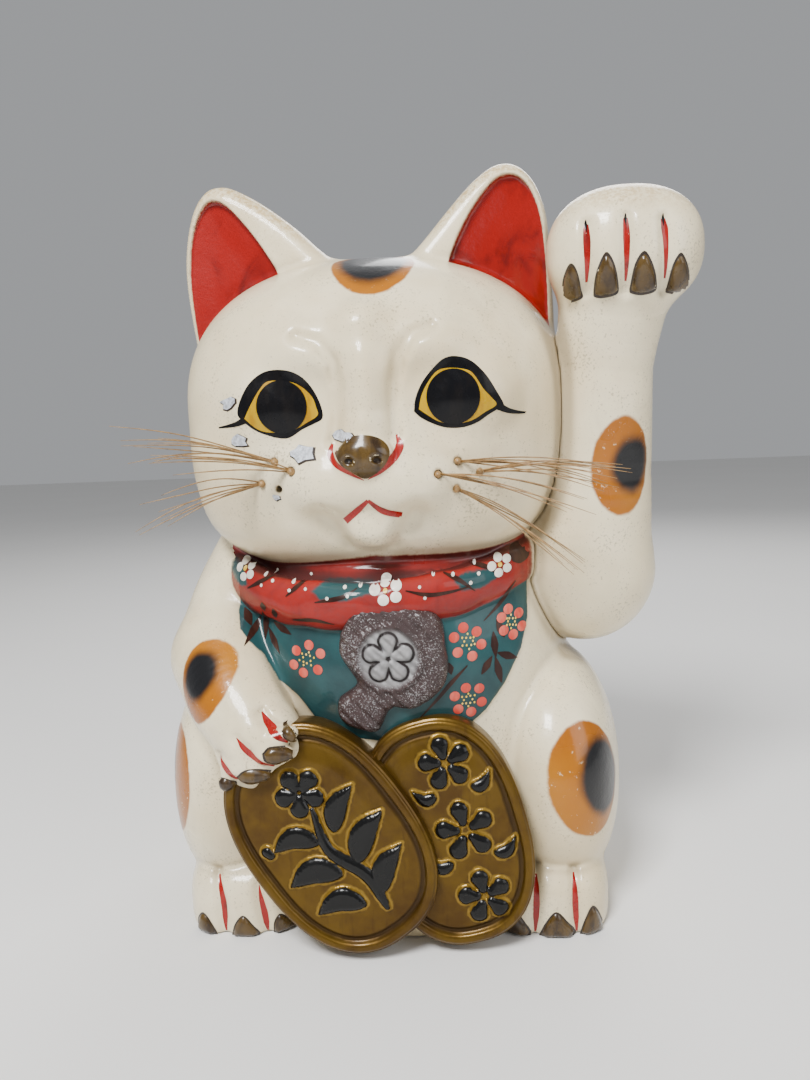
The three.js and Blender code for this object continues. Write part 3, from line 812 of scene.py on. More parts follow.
def glaze():
    """The figure's glaze: cream with dirt in it, grime and painted shade in its creases, and every large
    painted area.
    """
    p = Paint("painted_glaze", Coat_Weight=0.4, Coat_Roughness=0.09)
    p.shader.inputs["Specular IOR Level"].default_value = 0.3
    wobble = p.noise(90, 3)
    fine = p.noise(420, 3)
    cloud = p.noise(11, 4)
    grain = p.noise(900, 2)
    colour = p.mix(p.span(cloud, 0.35, 0.68), CREAM, CREAM_DARK)
    dust = p.noise(760, 2, 0.6)
    speck = p.span(p.plus(dust, p.times(p.noise(40, 2), 0.45)), 0.84, 0.95)
    colour = p.mix(p.times(speck, 0.5), colour, GRIME_AND_SHADE)
    smear = p.span(p.noise(16, 5, 0.65, None, (0, 0, 0), 0.6), 0.50, 0.72, 0, 0.30)
    colour = p.mix(smear, colour, (0.46, 0.38, 0.25))
    # Creases turn darker brown: grime, and painted shade where the figure closes in.
    crease_shade = p.times(p.span(p.attribute("crease_shade"), 0.10, 0.85), 0.62)
    colour = p.mix(crease_shade, colour, GRIME_AND_SHADE)
    worn = p.times(p.attribute("worn"), p.span(p.noise(430, 4, 0.75), 0.42, 0.58))
    colour = p.mix(p.times(worn, 0.75), colour, (0.44, 0.29, 0.10))
    ring = p.area("orange", 0.7, wobble, 2.2)
    flake = p.span(p.noise(240, 4, 0.75), 0.63, 0.68)
    tone = p.mix(p.span(cloud, 0.3, 0.7), ORANGE, ORANGE_PALE)
    colour = p.mix(p.times(ring, p.minus(1.0, p.times(flake, 0.5))), colour, tone)
    colour = p.mix(p.area("black", 3.0, wobble, 3.0), colour, SOOT)
    brush = p.noise(34, 4, 0.6, (1, 1, 0.8), (0, 25, 0), 0.8)
    colour = p.mix(p.area("ear", 0.35, fine, 0.6), colour, p.mix(p.span(brush, 0.50, 0.78), RED, DARK_RED))
    cloth = p.mix(p.span(p.noise(30, 4), 0.32, 0.72), TEAL, TEAL_DARK)
    colour = p.mix(p.area("bib", 0.35, fine, 0.7), colour, cloth)
    band = p.mix(p.area("teal", 1.0, fine, 2.5), p.mix(p.span(brush, 0.4, 0.8), SCARLET, DARK_RED), cloth)
    tied = p.area("collar", 0.3, fine, 0.4)
    colour = p.mix(tied, colour, band)
    # Painted shade in the collar's folds and along its edges, in the twig brown.
    colour = p.mix(p.times(tied, p.span(p.attribute("crease_shade"), 0.25, 0.8, 0, 0.8)), colour, TWIG)
    bare = p.attribute("inside")
    colour = p.mix(bare, colour, p.mix(p.noise(60, 4), CLAY, CREAM_DARK))
    rough = p.plus(p.span(cloud, 0.3, 0.7, 0.24, 0.40), p.times(worn, 0.3))
    matt = p.plus(bare, p.times(p.area("bib", 0.35, fine, 0.7), 0.9))
    rough = p.plus(rough, p.times(matt, 0.4))
    skin = p.bump(p.noise(38, 3), 0.0011, 0.55)
    normal = p.bump(grain, 0.00012, 0.5, p.bump(fine, 0.00022, 0.5, skin))
    return p.done(colour, rough, normal)


def brushed(name, colour, second, rough=0.25, coat=0.4, share=(0.4, 0.7), shine=0.3):
    """Thick enamel put on with a brush."""
    p = Paint(name, Coat_Weight=coat, Coat_Roughness=0.07)
    p.shader.inputs["Specular IOR Level"].default_value = shine
    streaks = p.noise(160, 3, 0.6, (1, 1, 0.35), (0, 12, 0))
    body = p.mix(p.span(streaks, *share), colour, second)
    dull = p.span(p.noise(120, 3), 0.3, 0.7, rough, rough + 0.16)
    return p.done(body, dull, p.bump(streaks, 0.0002, 0.6))


def gilt():
    """Bronze paint with brown brush marks, painted shade in the grooves, a painted highlight of paler gold
    beside the ornament, and the raised ornament in glossy black.
    """
    p = Paint("bronze_paint", Coat_Weight=0.12, Coat_Roughness=0.1)
    p.shader.inputs["Specular IOR Level"].default_value = 0.22
    hatch = p.noise(230, 4, 0.6, (1, 1, 0.14), (0, 62, 0))
    cloud = p.noise(36, 4, 0.6)
    grain = p.noise(700, 2)
    colour = p.mix(p.span(cloud, 0.35, 0.68), (0.105, 0.058, 0.006), (0.062, 0.030, 0.004))
    colour = p.mix(p.span(hatch, 0.55, 0.72, 0, 0.4), colour, (0.035, 0.014, 0.003))
    # Painted shade: darker bronze in the groove inside the rim and at the foot of the ornament.
    groove = p.times(p.span(p.attribute("groove"), 0.15, 0.9), 0.75)
    colour = p.mix(groove, colour, BRONZE_DARK)
    edge = p.uneven(p.attribute("ink"), p.noise(260, 3), 2.2)
    # Painted highlight: a band of paler gold beside the ornament's edges.
    colour = p.mix(p.span(edge, 1.7, 0.5, 0, 0.75), colour, (0.30, 0.18, 0.025))
    ink = p.span(edge, -0.1, -0.7)
    colour = p.mix(ink, colour, (0.004, 0.004, 0.004))
    rough = p.minus(p.span(p.noise(90, 3), 0.3, 0.7, 0.28, 0.44), p.times(ink, 0.12))
    metal = p.times(p.minus(1.0, ink), 0.6)
    return p.done(colour, rough, p.bump(grain, 0.0001, 0.4, p.bump(hatch, 0.0003, 0.5)), metal)


def glitter():
    """Dark red paint under dense silver glitter, almost all silver in the raised middle, with painted shade
    round the petals.
    """
    p = Paint("glitter_paint", Coat_Weight=0.3, Coat_Roughness=0.2)
    flakes = p.noise(1100, 3, 0.75)
    patches = p.noise(60, 3)
    silver = p.span(p.uneven(flakes, patches, 0.3), 0.575, 0.625)
    middle = p.span(p.attribute("silver"), 1.5, -2.5)
    share = p.math("MAXIMUM", silver, p.times(middle, p.span(patches, 0.25, 0.55, 0.72, 0.97)))
    colour = p.mix(p.noise(90, 3), (0.014, 0.004, 0.004), (0.036, 0.010, 0.009))
    colour = p.mix(share, colour, p.mix(patches, (0.42, 0.41, 0.40), (0.20, 0.20, 0.21)))
    # Painted shade: near black just outside the raised petals.
    colour = p.mix(p.span(p.attribute("groove"), 0.2, 0.8), colour, (0.012, 0.006, 0.006))
    rough = p.span(share, 0, 1, 0.5, 0.30)
    return p.done(colour, rough, p.bump(flakes, 0.0009, 0.8), p.times(share, 0.55))


def plain(name, colour, second, rough, scale=200, relief=0.0003):
    """A material without gloss, mottled with a second colour."""
    p = Paint(name)
    grain = p.noise(scale, 4, 0.6)
    dull = p.span(p.noise(scale / 3, 3), 0.3, 0.7, rough, min(1, rough + 0.15))
    return p.done(p.mix(p.span(grain, 0.35, 0.7), colour, second), dull, p.bump(grain, relief, 0.6))


# ---------------------------------------------------------------- shells and raised arm
glaze_material = glaze()


def glazed(node, points, faces, normals):
    piece = make_object("glazed_" + node, points, faces, normals, painting(points, normals),
                        glaze_material)
    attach(piece, "figure")
    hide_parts(node)


points, quads = shell.mesh()
in_front = cut_at_seam(points, quads)
for node, chosen in (("front_shell", in_front), ("back_shell", ~in_front)):
    used, faces = part_of(quads, chosen)
    glazed(node, points[used], faces, shell.normals(points[used]))
points, quads = arm.mesh()
glazed("raised_arm", points, quads, arm.normals(points))


# ---------------------------------------------------------------- brushwork laid on the glaze
class Strokes:
    """Thin enamel shapes draped on the figure, gathered in one piece of one colour."""

    def __init__(self, surface):
        self.surface, self.points, self.faces, self.normals = surface, [], [], []
        self.count = 0    # points so far

    def drape(self, flat, faces, lift, dome=None):
        """Lays a flat shape on the front of the surface, less the faces that miss what they lie on."""
        spots = self.surface.drop(np.asarray(flat, float))
        normals = self.surface.normals(spots, 1.2)
        rise = lift if dome is None else lift + dome
        self.points.append(spots + normals * np.reshape(rise, (-1, 1)))
        self.normals.append(normals)
        fallen = spots[:, 1] > np.median(spots[:, 1]) + 7
        self.faces += [[i + self.count for i in face] for face in faces if not any(fallen[i] for i in face)]
        self.count += len(spots)

    def patch(self, outline, lift, spacing=2.0, rise=0.0, reach=3.0, smooth=True):
        """A filled outline. rise makes it a raised pillow that is full height reach mm from its edge."""
        ring = np.array(outline, float)
        if smooth:
            ring = rounded(ring, 4)
        rows = [np.arange(a, b, spacing) for a, b in zip(ring.min(0), ring.max(0))]
        grid = np.stack(np.meshgrid(*rows), -1).reshape(-1, 2)
        depth = -polygon_distance(grid[:, 0], grid[:, 1], ring)
        grid = grid[depth > spacing * 0.55]
        flat = np.vstack([ring, grid])
        made = geometry.delaunay_2d_cdt([Vector(p) for p in flat], [], [list(range(len(ring)))], 1, 1e-5)
        flat = np.array([tuple(v) for v in made[0]])
        dome = None
        if rise:
            inward = np.clip(-polygon_distance(flat[:, 0], flat[:, 1], ring) / reach, 0, 1)
            dome = rise * half_round(1 - inward)
        self.drape(flat, made[2], lift, dome)

    def oval(self, at, wide, tall, lift, sides=40, rise=0.0):
        angle = np.arange(sides) * 2 * np.pi / sides
        ring = np.stack([at[0] + wide * np.cos(angle), at[1] + tall * np.sin(angle)], 1)
        self.patch(ring, lift, max(0.8, min(wide, tall) / 3), rise, min(wide, tall), False)

    def line(self, points, widths, lift):
        """A brush line whose half width follows widths along it."""
        path = curve(points, 10)
        along = np.linspace(0, 1, len(path))
        half = np.interp(along, np.linspace(0, 1, len(widths)), widths)
        ahead = np.gradient(path, axis=0)
        speed = np.maximum(np.linalg.norm(ahead, axis=1, keepdims=True), 1e-6)
        side = np.stack([-ahead[:, 1], ahead[:, 0]], 1) / speed
        steps = (-1, -0.6, 0, 0.6, 1)
        flat = np.concatenate([path + side * (half * s)[:, None] for s in steps])
        n = len(path)
        faces = [[r * n + i, (r + 1) * n + i, (r + 1) * n + i + 1, r * n + i + 1]
                 for r in range(len(steps) - 1) for i in range(n - 1)]
        self.drape(flat, faces, lift)

    def piece(self, name, material):
        """Makes the one piece, without the points that no face uses."""
        points, normals = np.vstack(self.points), np.vstack(self.normals)
        a, b, c = (points[[f[i] for f in self.faces]] for i in range(3))
        flip = (np.cross(b - a, c - a) * normals[[f[0] for f in self.faces]]).sum(1) < 0
        faces = [f[::-1] if turn else f for f, turn in zip(self.faces, flip)]
        kept = sorted({i for face in faces for i in face})
        number = dict(zip(kept, range(len(kept))))
        faces = [[number[i] for i in face] for face in faces]
        obj = make_object(name, points[kept], faces, None, None, material)
        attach(obj, "figure")


def ragged(at, size, sides=11):
    """An uneven chip outline."""
    angle = np.arange(sides) * 2 * np.pi / sides
    reach = size * rng.uniform(0.55, 1.15, sides)
    return np.stack([at[0] + 1.25 * reach * np.cos(angle), at[1] + 0.8 * reach * np.sin(angle)], 1)


def grown(outline, about, share):
    """An outline made larger around a point."""
    return about + (np.asarray(outline, float) - about) * share


ink, gold, red, bronze, outline = (Strokes(solid) for _ in range(5))
coral, stamen, twig, white, chip = (Strokes(solid) for _ in range(5))
for eye in EYES:
    ink.patch(eye["rim"], 0.16)
    ink.line(eye["lash"], [1.9, 1.3, 0.8, 0.25], 0.2)
    gold.patch(eye["iris"], 0.30)
    at, wide, tall = eye["pupil"]
    ink.oval(at, wide, tall, 0.6)
    for angle in np.radians(LASH_TICKS):
        ray = np.array((math.cos(angle), math.sin(angle)))
        ink.line([at + 15.5 * ray, at + 15.5 * ray + 1.4 * ray], [0.5, 0.1], 0.5)
for line, widths, lift in RED_LINES:
    red.line(line, widths, lift)
bronze.patch(NOSE, 0.25, 1.1)
for x in NOSTRILS:
    outline.oval((x, 262.3), 2.3, 1.7, 0.34, 20)
for line in TOE_LINES:
    raised = line[0][1] > PAW_LEVEL
    red.line(line, [1.2, 1.8, 1.5, 1.0, 0.2] if raised else [0.2, 1.4, 1.8, 1.6, 0.5], 0.16)
    if raised:
        top = np.array(line[0])
        ink.line([top + (0, 2.4), top, top + (0.2, -3.5)], [0.2, 0.8, 0.1], 0.30)
for claw in CLAWS:
    outline.patch(grown(claw, np.mean(claw, 0), 1.17), 0.14, 1.6)
    bronze.patch(claw, 0.2, 1.2, 1.9, 3.4)
for at, size in CHIPS:
    flake = ragged(at, size * 1.3)
    # Under each chip a dark rim, set a little right and down: the painted shadow of its broken edge.
    outline.patch(grown(flake, at, 1.14) + (0.5, -0.5), 0.12, 1.4, smooth=False)
    chip.patch(flake, 0.24, 1.2, smooth=False)
    chip.patch(ragged(np.add(at, rng.uniform(-size, size, 2)), size * 0.45), 0.24, 0.8, smooth=False)
for at, petals in CORALS:
    for petal in petals:
        coral.oval(petal, 2.7, 2.7, 0.22, 20, 0.25)
        for share, turn in ((0.30, 0.3), (0.50, -0.2)):
            away = np.subtract(petal, at) * share
            spot = at + away * math.cos(turn) + away[::-1] * (-math.sin(turn), math.sin(turn))
            stamen.oval(spot, 0.5, 0.62, 0.34, 10)
for at, size, petals in WHITES:
    for petal in petals:
        white.oval(petal, size, size * 0.95, 0.25, 20, 0.3)
    stamen.oval(at, 1.2, 1.2, 0.5, 14)
for dot in DOTS:
    white.oval(dot, *rng.uniform(0.75, 1.05, 2), 0.28, 12, 0.2)
for line in TWIGS:
    twig.line(line, [0.3, 1.2, 0.9, 0.2], 0.18)
for leaf in LEAVES:
    twig.line(leaf, [0.3, 1.5, 2.1, 1.3, 0.15], 0.18)
twig.patch(BRUSHED_BLOT, 0.18, 1.6)
ink.piece("brushwork_black", brushed("enamel_black", SOOT, SOOT_PALE, 0.16, 0.08, shine=0.12))
gold.piece("irises", brushed("enamel_yellow", IRIS, IRIS_DARK, 0.25, 0.2, shine=0.2))
red.piece("brushwork_red", brushed("enamel_red", (0.28, 0.004, 0.002), DARK_RED, 0.22, share=(0.5, 0.75)))
bronze.piece("claws_and_nose", brushed("enamel_bronze", (0.075, 0.042, 0.008), BRONZE_DARK, 0.24))
# The umber piece holds the claw and nostril outlines and the painted shadows under the chips.
outline.piece("claw_outlines_and_chip_shadows", brushed("enamel_umber", UMBER, BRONZE_DARK, 0.35))
coral.piece("bib_flowers", brushed("enamel_coral", CORAL, CORAL_PALE, 0.4, 0.2))
stamen.piece("flower_stamens", brushed("enamel_ochre", OCHRE, OCHRE_PALE, 0.4, 0.2))
twig.piece("twigs_and_leaves", brushed("enamel_brown", TWIG, (0.040, 0.015, 0.010), 0.3, 0.2, shine=0.15))
white.piece("collar_blossoms", brushed("enamel_white", WHITE, WHITE_DULL, 0.4, 0.2))
chip.piece("glaze_chips", plain("chipped_plaster", PLASTER, PLASTER_DARK, 0.35, 500, 0.0008))


# ---------------------------------------------------------------- coins
def centre(node):
    """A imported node's middle and corners in drawn millimetres."""
    low, high = (np.array(corner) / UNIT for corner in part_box(node))
    return (low + high) / 2, low, high


def lens(points, widest, ends=0.6):
    """A smooth leaf along a curve: (points, radii)."""
    path = curve(points, 7)
    along = np.linspace(0, 1, len(path))
    return [tuple(p) for p in path], ends + (widest - ends) * np.sin(np.pi * along ** 0.8)


def coin_marks(shift, kind):
    """Leafy ornament, as brush strokes (points, radii) in the coin's own (across, up) millimetres."""
    marks = []
    if kind == "spray":
        marks.append(lens([(3, -46), (5, -26), (-3, -4), (3, 18)], 4.2, 1.8))
        for level, size in ((-38, 1.0), (-18, 1.1), (2, 0.95)):
            for side in (-1, 1):
                tip = (side * 29 * size, level + 12 + side * 2)
                marks.append(lens([(side * 5, level), (side * 15 * size, level + 10), tip], 6.6 * size))
        marks += [(petal, [3.4, 5.6]) for petal in blossom_strokes((3, 29), 3.8, 8.2)]
        marks.append(([(-30, 12), (-30.5, 14)], [3.0, 3.4]))
    else:
        for level, size in ((36, 1.0), (-1, 1.15), (-37, 1.0)):
            marks += [(petal, [3.0, 5.2]) for petal in blossom_strokes((0, level), 4.5 * size, 9.5 * size)]
            for side in (-1, 1) if level > -30 else ():
                start, end = (side * 10 * size, level - 15), (side * 21 * size, level - 10)
                marks.append(lens([start, ((start[0] + end[0]) / 2, level - 16), end], 3.8))
    return [([(u + shift, v) for u, v in line], radii) for line, radii in marks]


def blossom_strokes(at, near, far, petals=5):
    turns = np.arange(petals) * 2 * np.pi / petals
    return [[(at[0] + r * math.sin(t), at[1] + r * math.cos(t)) for r in (near, far)] for t in turns]


def ring_quads(rows, around):
    """The numbers of the points in rings, one row each, and the quads between the rings."""
    index = np.arange(rows * around).reshape(rows, around)
    following = np.roll(index, -1, 1)
    return index, np.stack([index[:-1], following[:-1], following[1:], index[1:]], -1).reshape(-1, 4)


def capped_rings(rows, around):
    index, quads = ring_quads(rows, around)
    return quads.tolist() + [index[0, ::-1].tolist(), index[-1].tolist()]


def coin(node, at, half_wide, half_long, thick, lean, lean_back, marks, material):
    """An oval coin with a rounded rim, a groove inside it and raised ornament."""
    rings, around, rim, tilt = 120, 400, 5.5, rotation((lean_back, 0, 0))
    angle = np.arange(around) * 2 * np.pi / around
    c, s = np.cos(angle), np.sin(angle)
    edge_u = half_wide * np.sign(c) * np.abs(c) ** (2 / COIN_POWER)
    edge_v = half_long * np.sign(s) * np.abs(s) ** (2 / COIN_POWER)
    share = np.linspace(0.004, 1, rings)[:, None]
    u, v = edge_u * share, edge_v * share
    inward = (1 - share) * np.hypot(edge_u, edge_v)
    ink_d = np.min([stroke_distance(u, v, *mark) for mark in marks], 0)
    face = -1.9 + 0.9 * step01(rim + 4, rim + 16, inward)
    bead = 2.0 * half_round((inward - rim / 2) / (rim / 2))
    up = np.where(inward < rim, -1.9 + bead, face) - 0.8 * np.exp(-((inward - rim - 1.6) / 1.3) ** 2)
    up += 3.0 * half_round(np.clip(1 + ink_d / 4.2, 0, 1)) * step01(rim, rim + 2, inward)
    levels = np.array([-0.5, -1.6, -3.4, -thick * 0.5, -thick + 3, -thick + 1])
    swell = np.array([1.010, 1.018, 1.022, 1.024, 1.018, 0.995])
    grid_u = np.concatenate([u, edge_u * swell[:, None], edge_u[None] * 0.6])
    grid_v = np.concatenate([v, edge_v * swell[:, None], edge_v[None] * 0.6])
    grid_h = np.concatenate([up, np.repeat(levels[:, None] - 1.4, around, 1), np.full((1, around), -thick)])
    count = grid_u.size
    local_points = np.stack([grid_u.ravel(), -grid_h.ravel(), grid_v.ravel()], 1)
    local_points = np.vstack([local_points, [0, -up[0].mean(), 0], [0, thick, 0]])
    index, quads = ring_quads(*grid_u.shape)
    faces = quads[:, [0, 3, 2, 1]].tolist()
    first, last = (row.tolist() for row in index[[0, -1]])
    faces += [[count, a, b] for a, b in zip(first, first[1:] + first[:1])]
    faces += [[count + 1, b, a] for a, b in zip(last, last[1:] + last[:1])]
    points = local_points @ rotation((0, lean, 0)).T @ tilt.T
    low = centre(node)[1]
    size_low, size_high = points[:count].min(0), points[:count].max(0)
    shift = np.array([at[0] - (size_low[0] + size_high[0]) / 2, low[1] - size_low[1],
                      at[2] - (size_low[2] + size_high[2]) / 2])
    rest = len(points) - ink_d.size
    # Where the gilt paints shade: the groove inside the rim and the foot of the ornament.
    dip = np.exp(-((inward - rim - 1.6) / 1.8) ** 2) + 0.8 * np.exp(-(ink_d - 0.6) ** 2 / 1.2)
    obj = make_object("embossed_" + node, points + shift, faces, None, {
        "ink": np.append(ink_d, np.full(rest, 9.0)),
        "groove": np.append(dip, np.full(rest, 0.12))}, material)
    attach(obj, "figure")
    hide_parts(node)


gilt_material = gilt()
coin("front_coin", *FRONT_COIN, coin_marks(0, "spray"), gilt_material)
coin("rear_coin", *REAR_COIN, coin_marks(9, "blossoms"), gilt_material)


# ---------------------------------------------------------------- charm
CHARM_OUTLINE = [(-30, 171.7), (-25, 181.2), (-18.5, 186.2), (-10, 188), (1, 187.2), (10.6, 185.3),
                 (20, 182.4), (24.6, 174.9), (25.6, 165), (27, 153.8), (25, 144), (18.3, 136.4),
                 (9.4, 131), (2.2, 130.6), (-2, 131.5), (-5.7, 128.9), (-8.2, 123.5), (-11.4, 118.5),
                 (-17.3, 118.5), (-25.6, 121), (-31.4, 125), (-33.2, 131), (-32.2, 137), (-27.8, 140.6),
                 (-22.5, 145.1), (-24.6, 150.8), (-28.5, 156.4), (-31, 163.3)]


def charm(material):
    """A mallet-shaped charm, lumpy from its mould, with a plain blossom raised in a ring."""
    middle, low, high = centre("mallet_charm")
    outline_points = np.array(CHARM_OUTLINE, float)
    outline_points += (middle[0] + 3 - np.mean([outline_points[:, 0].min(), outline_points[:, 0].max()]),
                       high[2] - outline_points[:, 1].max())
    f = Field((-44, low[1] - 6, 108), (40, high[1] + 12, 196), 0.75)
    x, y, z = np.meshgrid(*f.axes, indexing="ij", sparse=True)
    across, height = x[:, 0, :], z[0]
    flat = polygon_distance(across, height, rounded(outline_points, 4))
    front = low[1] + 3.2
    wave = 0.5 * np.sin(across * 0.55 + 1) * np.sin(height * 0.48) + 0.35 * np.sin((across + height) * 1.1)
    at = (middle[0] + 2, middle[2] + 3)
    petals = blossom_strokes((0, 0), 3.6, 8.8)

    def from_blossom(px, pz):
        """Distances to the blossom's middle and to its petals."""
        px, pz = px - at[0], pz - at[1]
        return np.hypot(px, pz), np.min([stroke_distance(px, pz, line, [2.6, 4.4]) for line in petals], 0)

    reach, petal_d = from_blossom(across, height)
    ring = 1.5 * np.exp(-((reach - 17) / 1.7) ** 2)
    raised = 1.9 * half_round(np.clip(1 + petal_d / 2.4, 0, 1))
    surface = front - (wave + ring + raised)
    slab = np.maximum(surface[:, None, :] - y, y - (high[1] + 8))
    f.d = smooth_max(flat[:, None, :] + 1.5, slab, 7).astype(np.float32) - 1.0
    points, quads = f.mesh()
    reach, petal_d = from_blossom(points[:, 0], points[:, 2])
    behind = np.where(points[:, 1] < front + 1.5, 0, 1)
    # The groove value is near 1 just outside the raised petals, where the glitter lays painted shade.
    obj = make_object("cast_mallet_charm", points, quads, f.normals(points), {
        "silver": reach - 15.5 + behind * 30,
        "groove": np.exp(-((petal_d - 0.5) / 0.9) ** 2) * (reach < 15) * (1 - behind)},
        material)
    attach(obj, "figure")
    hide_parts("mallet_charm")


charm(glitter())


# ---------------------------------------------------------------- whiskers
def tube(path, radii, sides=6):
    """A closed tapering tube through a path."""
    ahead = np.gradient(path, axis=0)
    ahead /= np.linalg.norm(ahead, axis=1, keepdims=True)
    side = np.cross(ahead, (0.13, 0.31, 0.94))
    side /= np.linalg.norm(side, axis=1, keepdims=True)
    up = np.cross(ahead, side)
    angle = np.arange(sides) * 2 * np.pi / sides
    rings = path[:, None] + np.reshape(radii, (-1, 1, 1)) * (
        side[:, None] * np.cos(angle)[:, None] + up[:, None] * np.sin(angle)[:, None])
    return rings.reshape(-1, 3), capped_rings(len(path), sides)


def whisker(name, at, reach, count, material):
    """A tuft of bristles in a blob of glue."""
    ring = np.add([(4.0, 0), (-4, 0), (0, 4), (0, -4)], at)
    root = np.append(solid.drop(ring, -118).mean(0)[:2], at[1])
    root[0] = at[0]
    tubes = []
    for _ in range(count):
        spread = rng.normal(0, 1, 3) * (3.5, 3.0, 5.5)
        tip = root + np.array(reach, float) * rng.uniform(0.80, 1.0) + spread
        start = root + rng.uniform(-0.6, 0.6, 3) + (0, 2.0, 0)
        t = np.linspace(0, 1, 18)[:, None]
        bow = np.array((0, -2.5, rng.uniform(1.5, 5.0)))
        path = start + (tip - start) * t + bow * np.sin(np.pi * t) + rng.normal(0, 0.25, 3) * np.sin(7 * t)
        tubes.append(tube(path, np.interp(t[:, 0], [0, 0.7, 1], [0.40, 0.30, 0.10])))
    lump = np.linspace(0, 1, 9)
    swell = np.sqrt(np.clip(1 - (2 * lump - 1) ** 2, 0.01, 1)) * rng.uniform(0.85, 1.1, len(lump))
    tubes.append(tube(root + np.outer(lump - 0.5, (0, -5.0, 0)), 1.9 * swell, 12))
    points, faces = np.empty((0, 3)), []
    for rings, quads in tubes:
        faces += [[k + len(points) for k in face] for face in quads]
        points = np.vstack([points, rings])
    obj = make_object(name + "_bristles", points, faces, None, None, material)
    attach(obj, "figure")
    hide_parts(name)


bristle = plain("bristle", (0.33, 0.19, 0.065), (0.17, 0.09, 0.03), 0.35, 300)
for name, at, reach, count in WHISKERS:
    whisker(name, at, reach, count, bristle)


# ---------------------------------------------------------------- base plate and stopper
def base_plate(material):
    """The fired clay plate glued in the bottom, with the stopper's hole."""
    middle, low, high = centre("base_plate")
    hole, hole_low, hole_high = centre("base_stopper")
    step = 1.0
    f = Field((low[0] - 8, low[1] - 8, -4), (high[0] + 8, high[1] + 8, high[2] + 4), step)
    grid = np.stack(np.meshgrid(*f.axes, indexing="ij"), -1).reshape(-1, 3)
    blocks = np.array_split(grid, 1 + len(grid) // 400000)
    outline_d = np.concatenate([cavity.sample(block) for block in blocks]).reshape(f.d.shape)
    outline_d = outline_d.astype(np.float32)
    x, y, z = np.meshgrid(*f.axes, indexing="ij", sparse=True)
    round_hole = np.hypot(x - hole[0], y - hole[1])
    flange = (hole_high[0] - hole_low[0]) / 2
    hole_radius = flange - 3.5
    f.d = smooth_max(outline_d + 0.4, np.abs(z - high[2] / 2) - high[2] / 2, 1.0).astype(np.float32)
    f.d = smooth_max(f.d, hole_radius + 0.15 - round_hole, 0.8)
    f.d = np.maximum(f.d, -np.maximum(round_hole - flange - 0.4, z - 3.4)).astype(np.float32)
    points, quads = f.mesh()
    normals = f.normals(points, 0.7)
    obj = make_object("clay_base_plate", points, quads, normals, None, material)
    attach(obj, "figure")
    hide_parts("base_plate")


def lathe(name, profile, at, material, sides=96):
    """A turned shape from (radius, height) points."""
    angle = np.arange(sides) * 2 * np.pi / sides
    rows = np.array(profile, float)
    points = np.stack([at[0] + rows[:, :1] * np.cos(angle), at[1] + rows[:, :1] * np.sin(angle),
                       np.repeat(rows[:, 1:], sides, 1)], -1).reshape(-1, 3)
    return make_object(name, points, capped_rings(len(rows), sides), None, None, material)


def stopper_profile(flange, shank, bottom, top):
    """From the middle of the underside over the finger grip and the flange, then up the shank."""
    grip = [(1.0, 1.2), (7.5, 1.2), (8.5, 0.3), (9.5, 0), (11.5, 0), (12.5, 0.3), (13.5, 1.2)]
    rim = [(-3, 1.2), (-2.2, 0.2), (-0.8, 0), (-0.2, 0.4), (0, 1), (-0.3, 1.7), (-0.9, 2)]
    neck = [(0.2, 2), (0, 2.3)]
    side = [(0, -4.6), (-0.5, -4.2), (-0.5, -3.4), (0, -3.0), (-0.4, -1.4), (-1.2, -0.3), (-2.2, 0)]
    hollow = [(-4, -0.2), (-5, -1.8)]
    runs = ((grip, 0, bottom), (rim, flange, bottom), (neck, shank, bottom), (side + hollow, shank, top),
            ([(1.0, -1.8)], 0, top))
    return [(radius + out, level + up) for run, radius, level in runs for out, up in run]


base_plate(plain("fired_clay", CLAY, CLAY_DARK, 0.72, 120, 0.0006))
middle, low, high = centre("base_stopper")
flange_radius = (high[0] - low[0]) / 2
profile = stopper_profile(flange_radius, flange_radius - 3.6, low[2], high[2])
rubber = plain("black_rubber", (0.030, 0.028, 0.026), (0.055, 0.052, 0.048), 0.62, 260)
stopper = lathe("rubber_stopper", profile, middle, rubber)
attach(stopper, "stopper")
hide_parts("base_stopper")


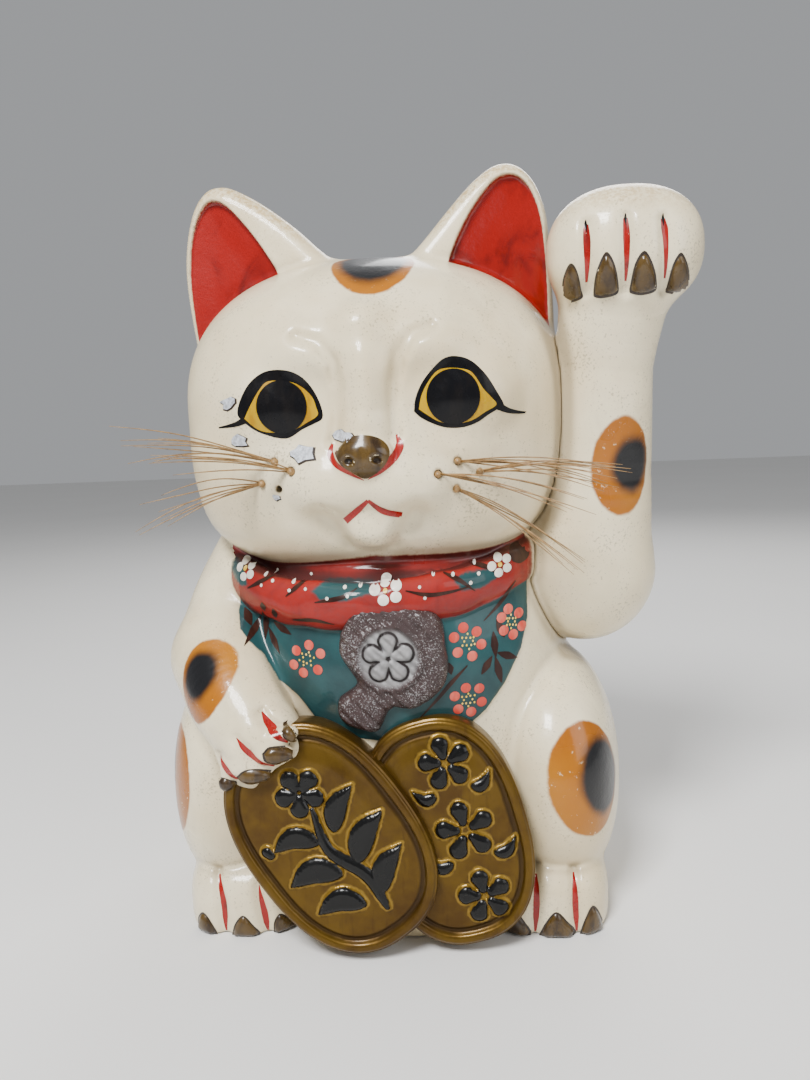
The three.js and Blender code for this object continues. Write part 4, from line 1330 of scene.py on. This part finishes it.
# ---------------------------------------------------------------- stage
# The camera that took the photo: place in metres, angles in degrees, lens and sensor in millimetres.
CAMERA_AT = (0.0441, -0.5101, 0.274)
CAMERA_YAW, CAMERA_PITCH, CAMERA_ROLL = 4.24, -7.17, 2.3
CAMERA_LENS, SENSOR = 27.77, 36
FLOOR_HALF = 6.0
LOOKED_AT = (0, 0, 0.22)
# Name, place, size in metres and power in watts.
LAMPS = [
    ("key", (-0.35, -1.0, 1.35), 0.45, 44),
    ("fill", (1.3, -0.9, 0.8), 1.0, 9),
    ("rim", (0.3, 1.3, 1.3), 0.9, 14),
]


def stage():
    """Floor, sky, lamps and the camera that took the photo."""
    floor = bpy.data.meshes.new("floor")
    corners = [(FLOOR_HALF * x, FLOOR_HALF * y, 0) for x, y in ((-1, -1), (1, -1), (1, 1), (-1, 1))]
    floor.from_pydata(corners, [], [(0, 1, 2, 3)])
    ground = bpy.data.objects.new("floor", floor)
    bpy.context.collection.objects.link(ground)
    p = Paint("floor")
    ground.data.materials.append(p.done(p.mix(p.noise(3, 2), (0.80, 0.79, 0.77), (0.76, 0.75, 0.73)), 0.9))

    world = bpy.data.worlds.new("studio")
    world.use_nodes = True
    sky = world.node_tree.nodes["Background"].inputs
    sky["Color"].default_value = (0.90, 0.92, 0.95, 1)
    sky["Strength"].default_value = 0.40
    bpy.context.scene.world = world
    for name, at, size, power in LAMPS:
        light = bpy.data.lights.new(name, "AREA")
        light.energy, light.size = power, size
        lamp = bpy.data.objects.new(name, light)
        lamp.location = at
        lamp.rotation_euler = (Vector(LOOKED_AT) - Vector(at)).to_track_quat("-Z", "Y").to_euler()
        bpy.context.collection.objects.link(lamp)

    camera = bpy.data.cameras.new("camera")
    camera.lens = CAMERA_LENS
    camera.sensor_width = SENSOR
    camera.sensor_fit = "AUTO"
    eye = bpy.data.objects.new("camera", camera)
    turn = (Matrix.Rotation(math.radians(CAMERA_YAW), 4, "Z")
            @ Matrix.Rotation(math.radians(90 + CAMERA_PITCH), 4, "X")
            @ Matrix.Rotation(math.radians(-CAMERA_ROLL), 4, "Z"))
    eye.matrix_world = Matrix.Translation(CAMERA_AT) @ turn
    bpy.context.collection.objects.link(eye)
    bpy.context.scene.camera = eye


stage()
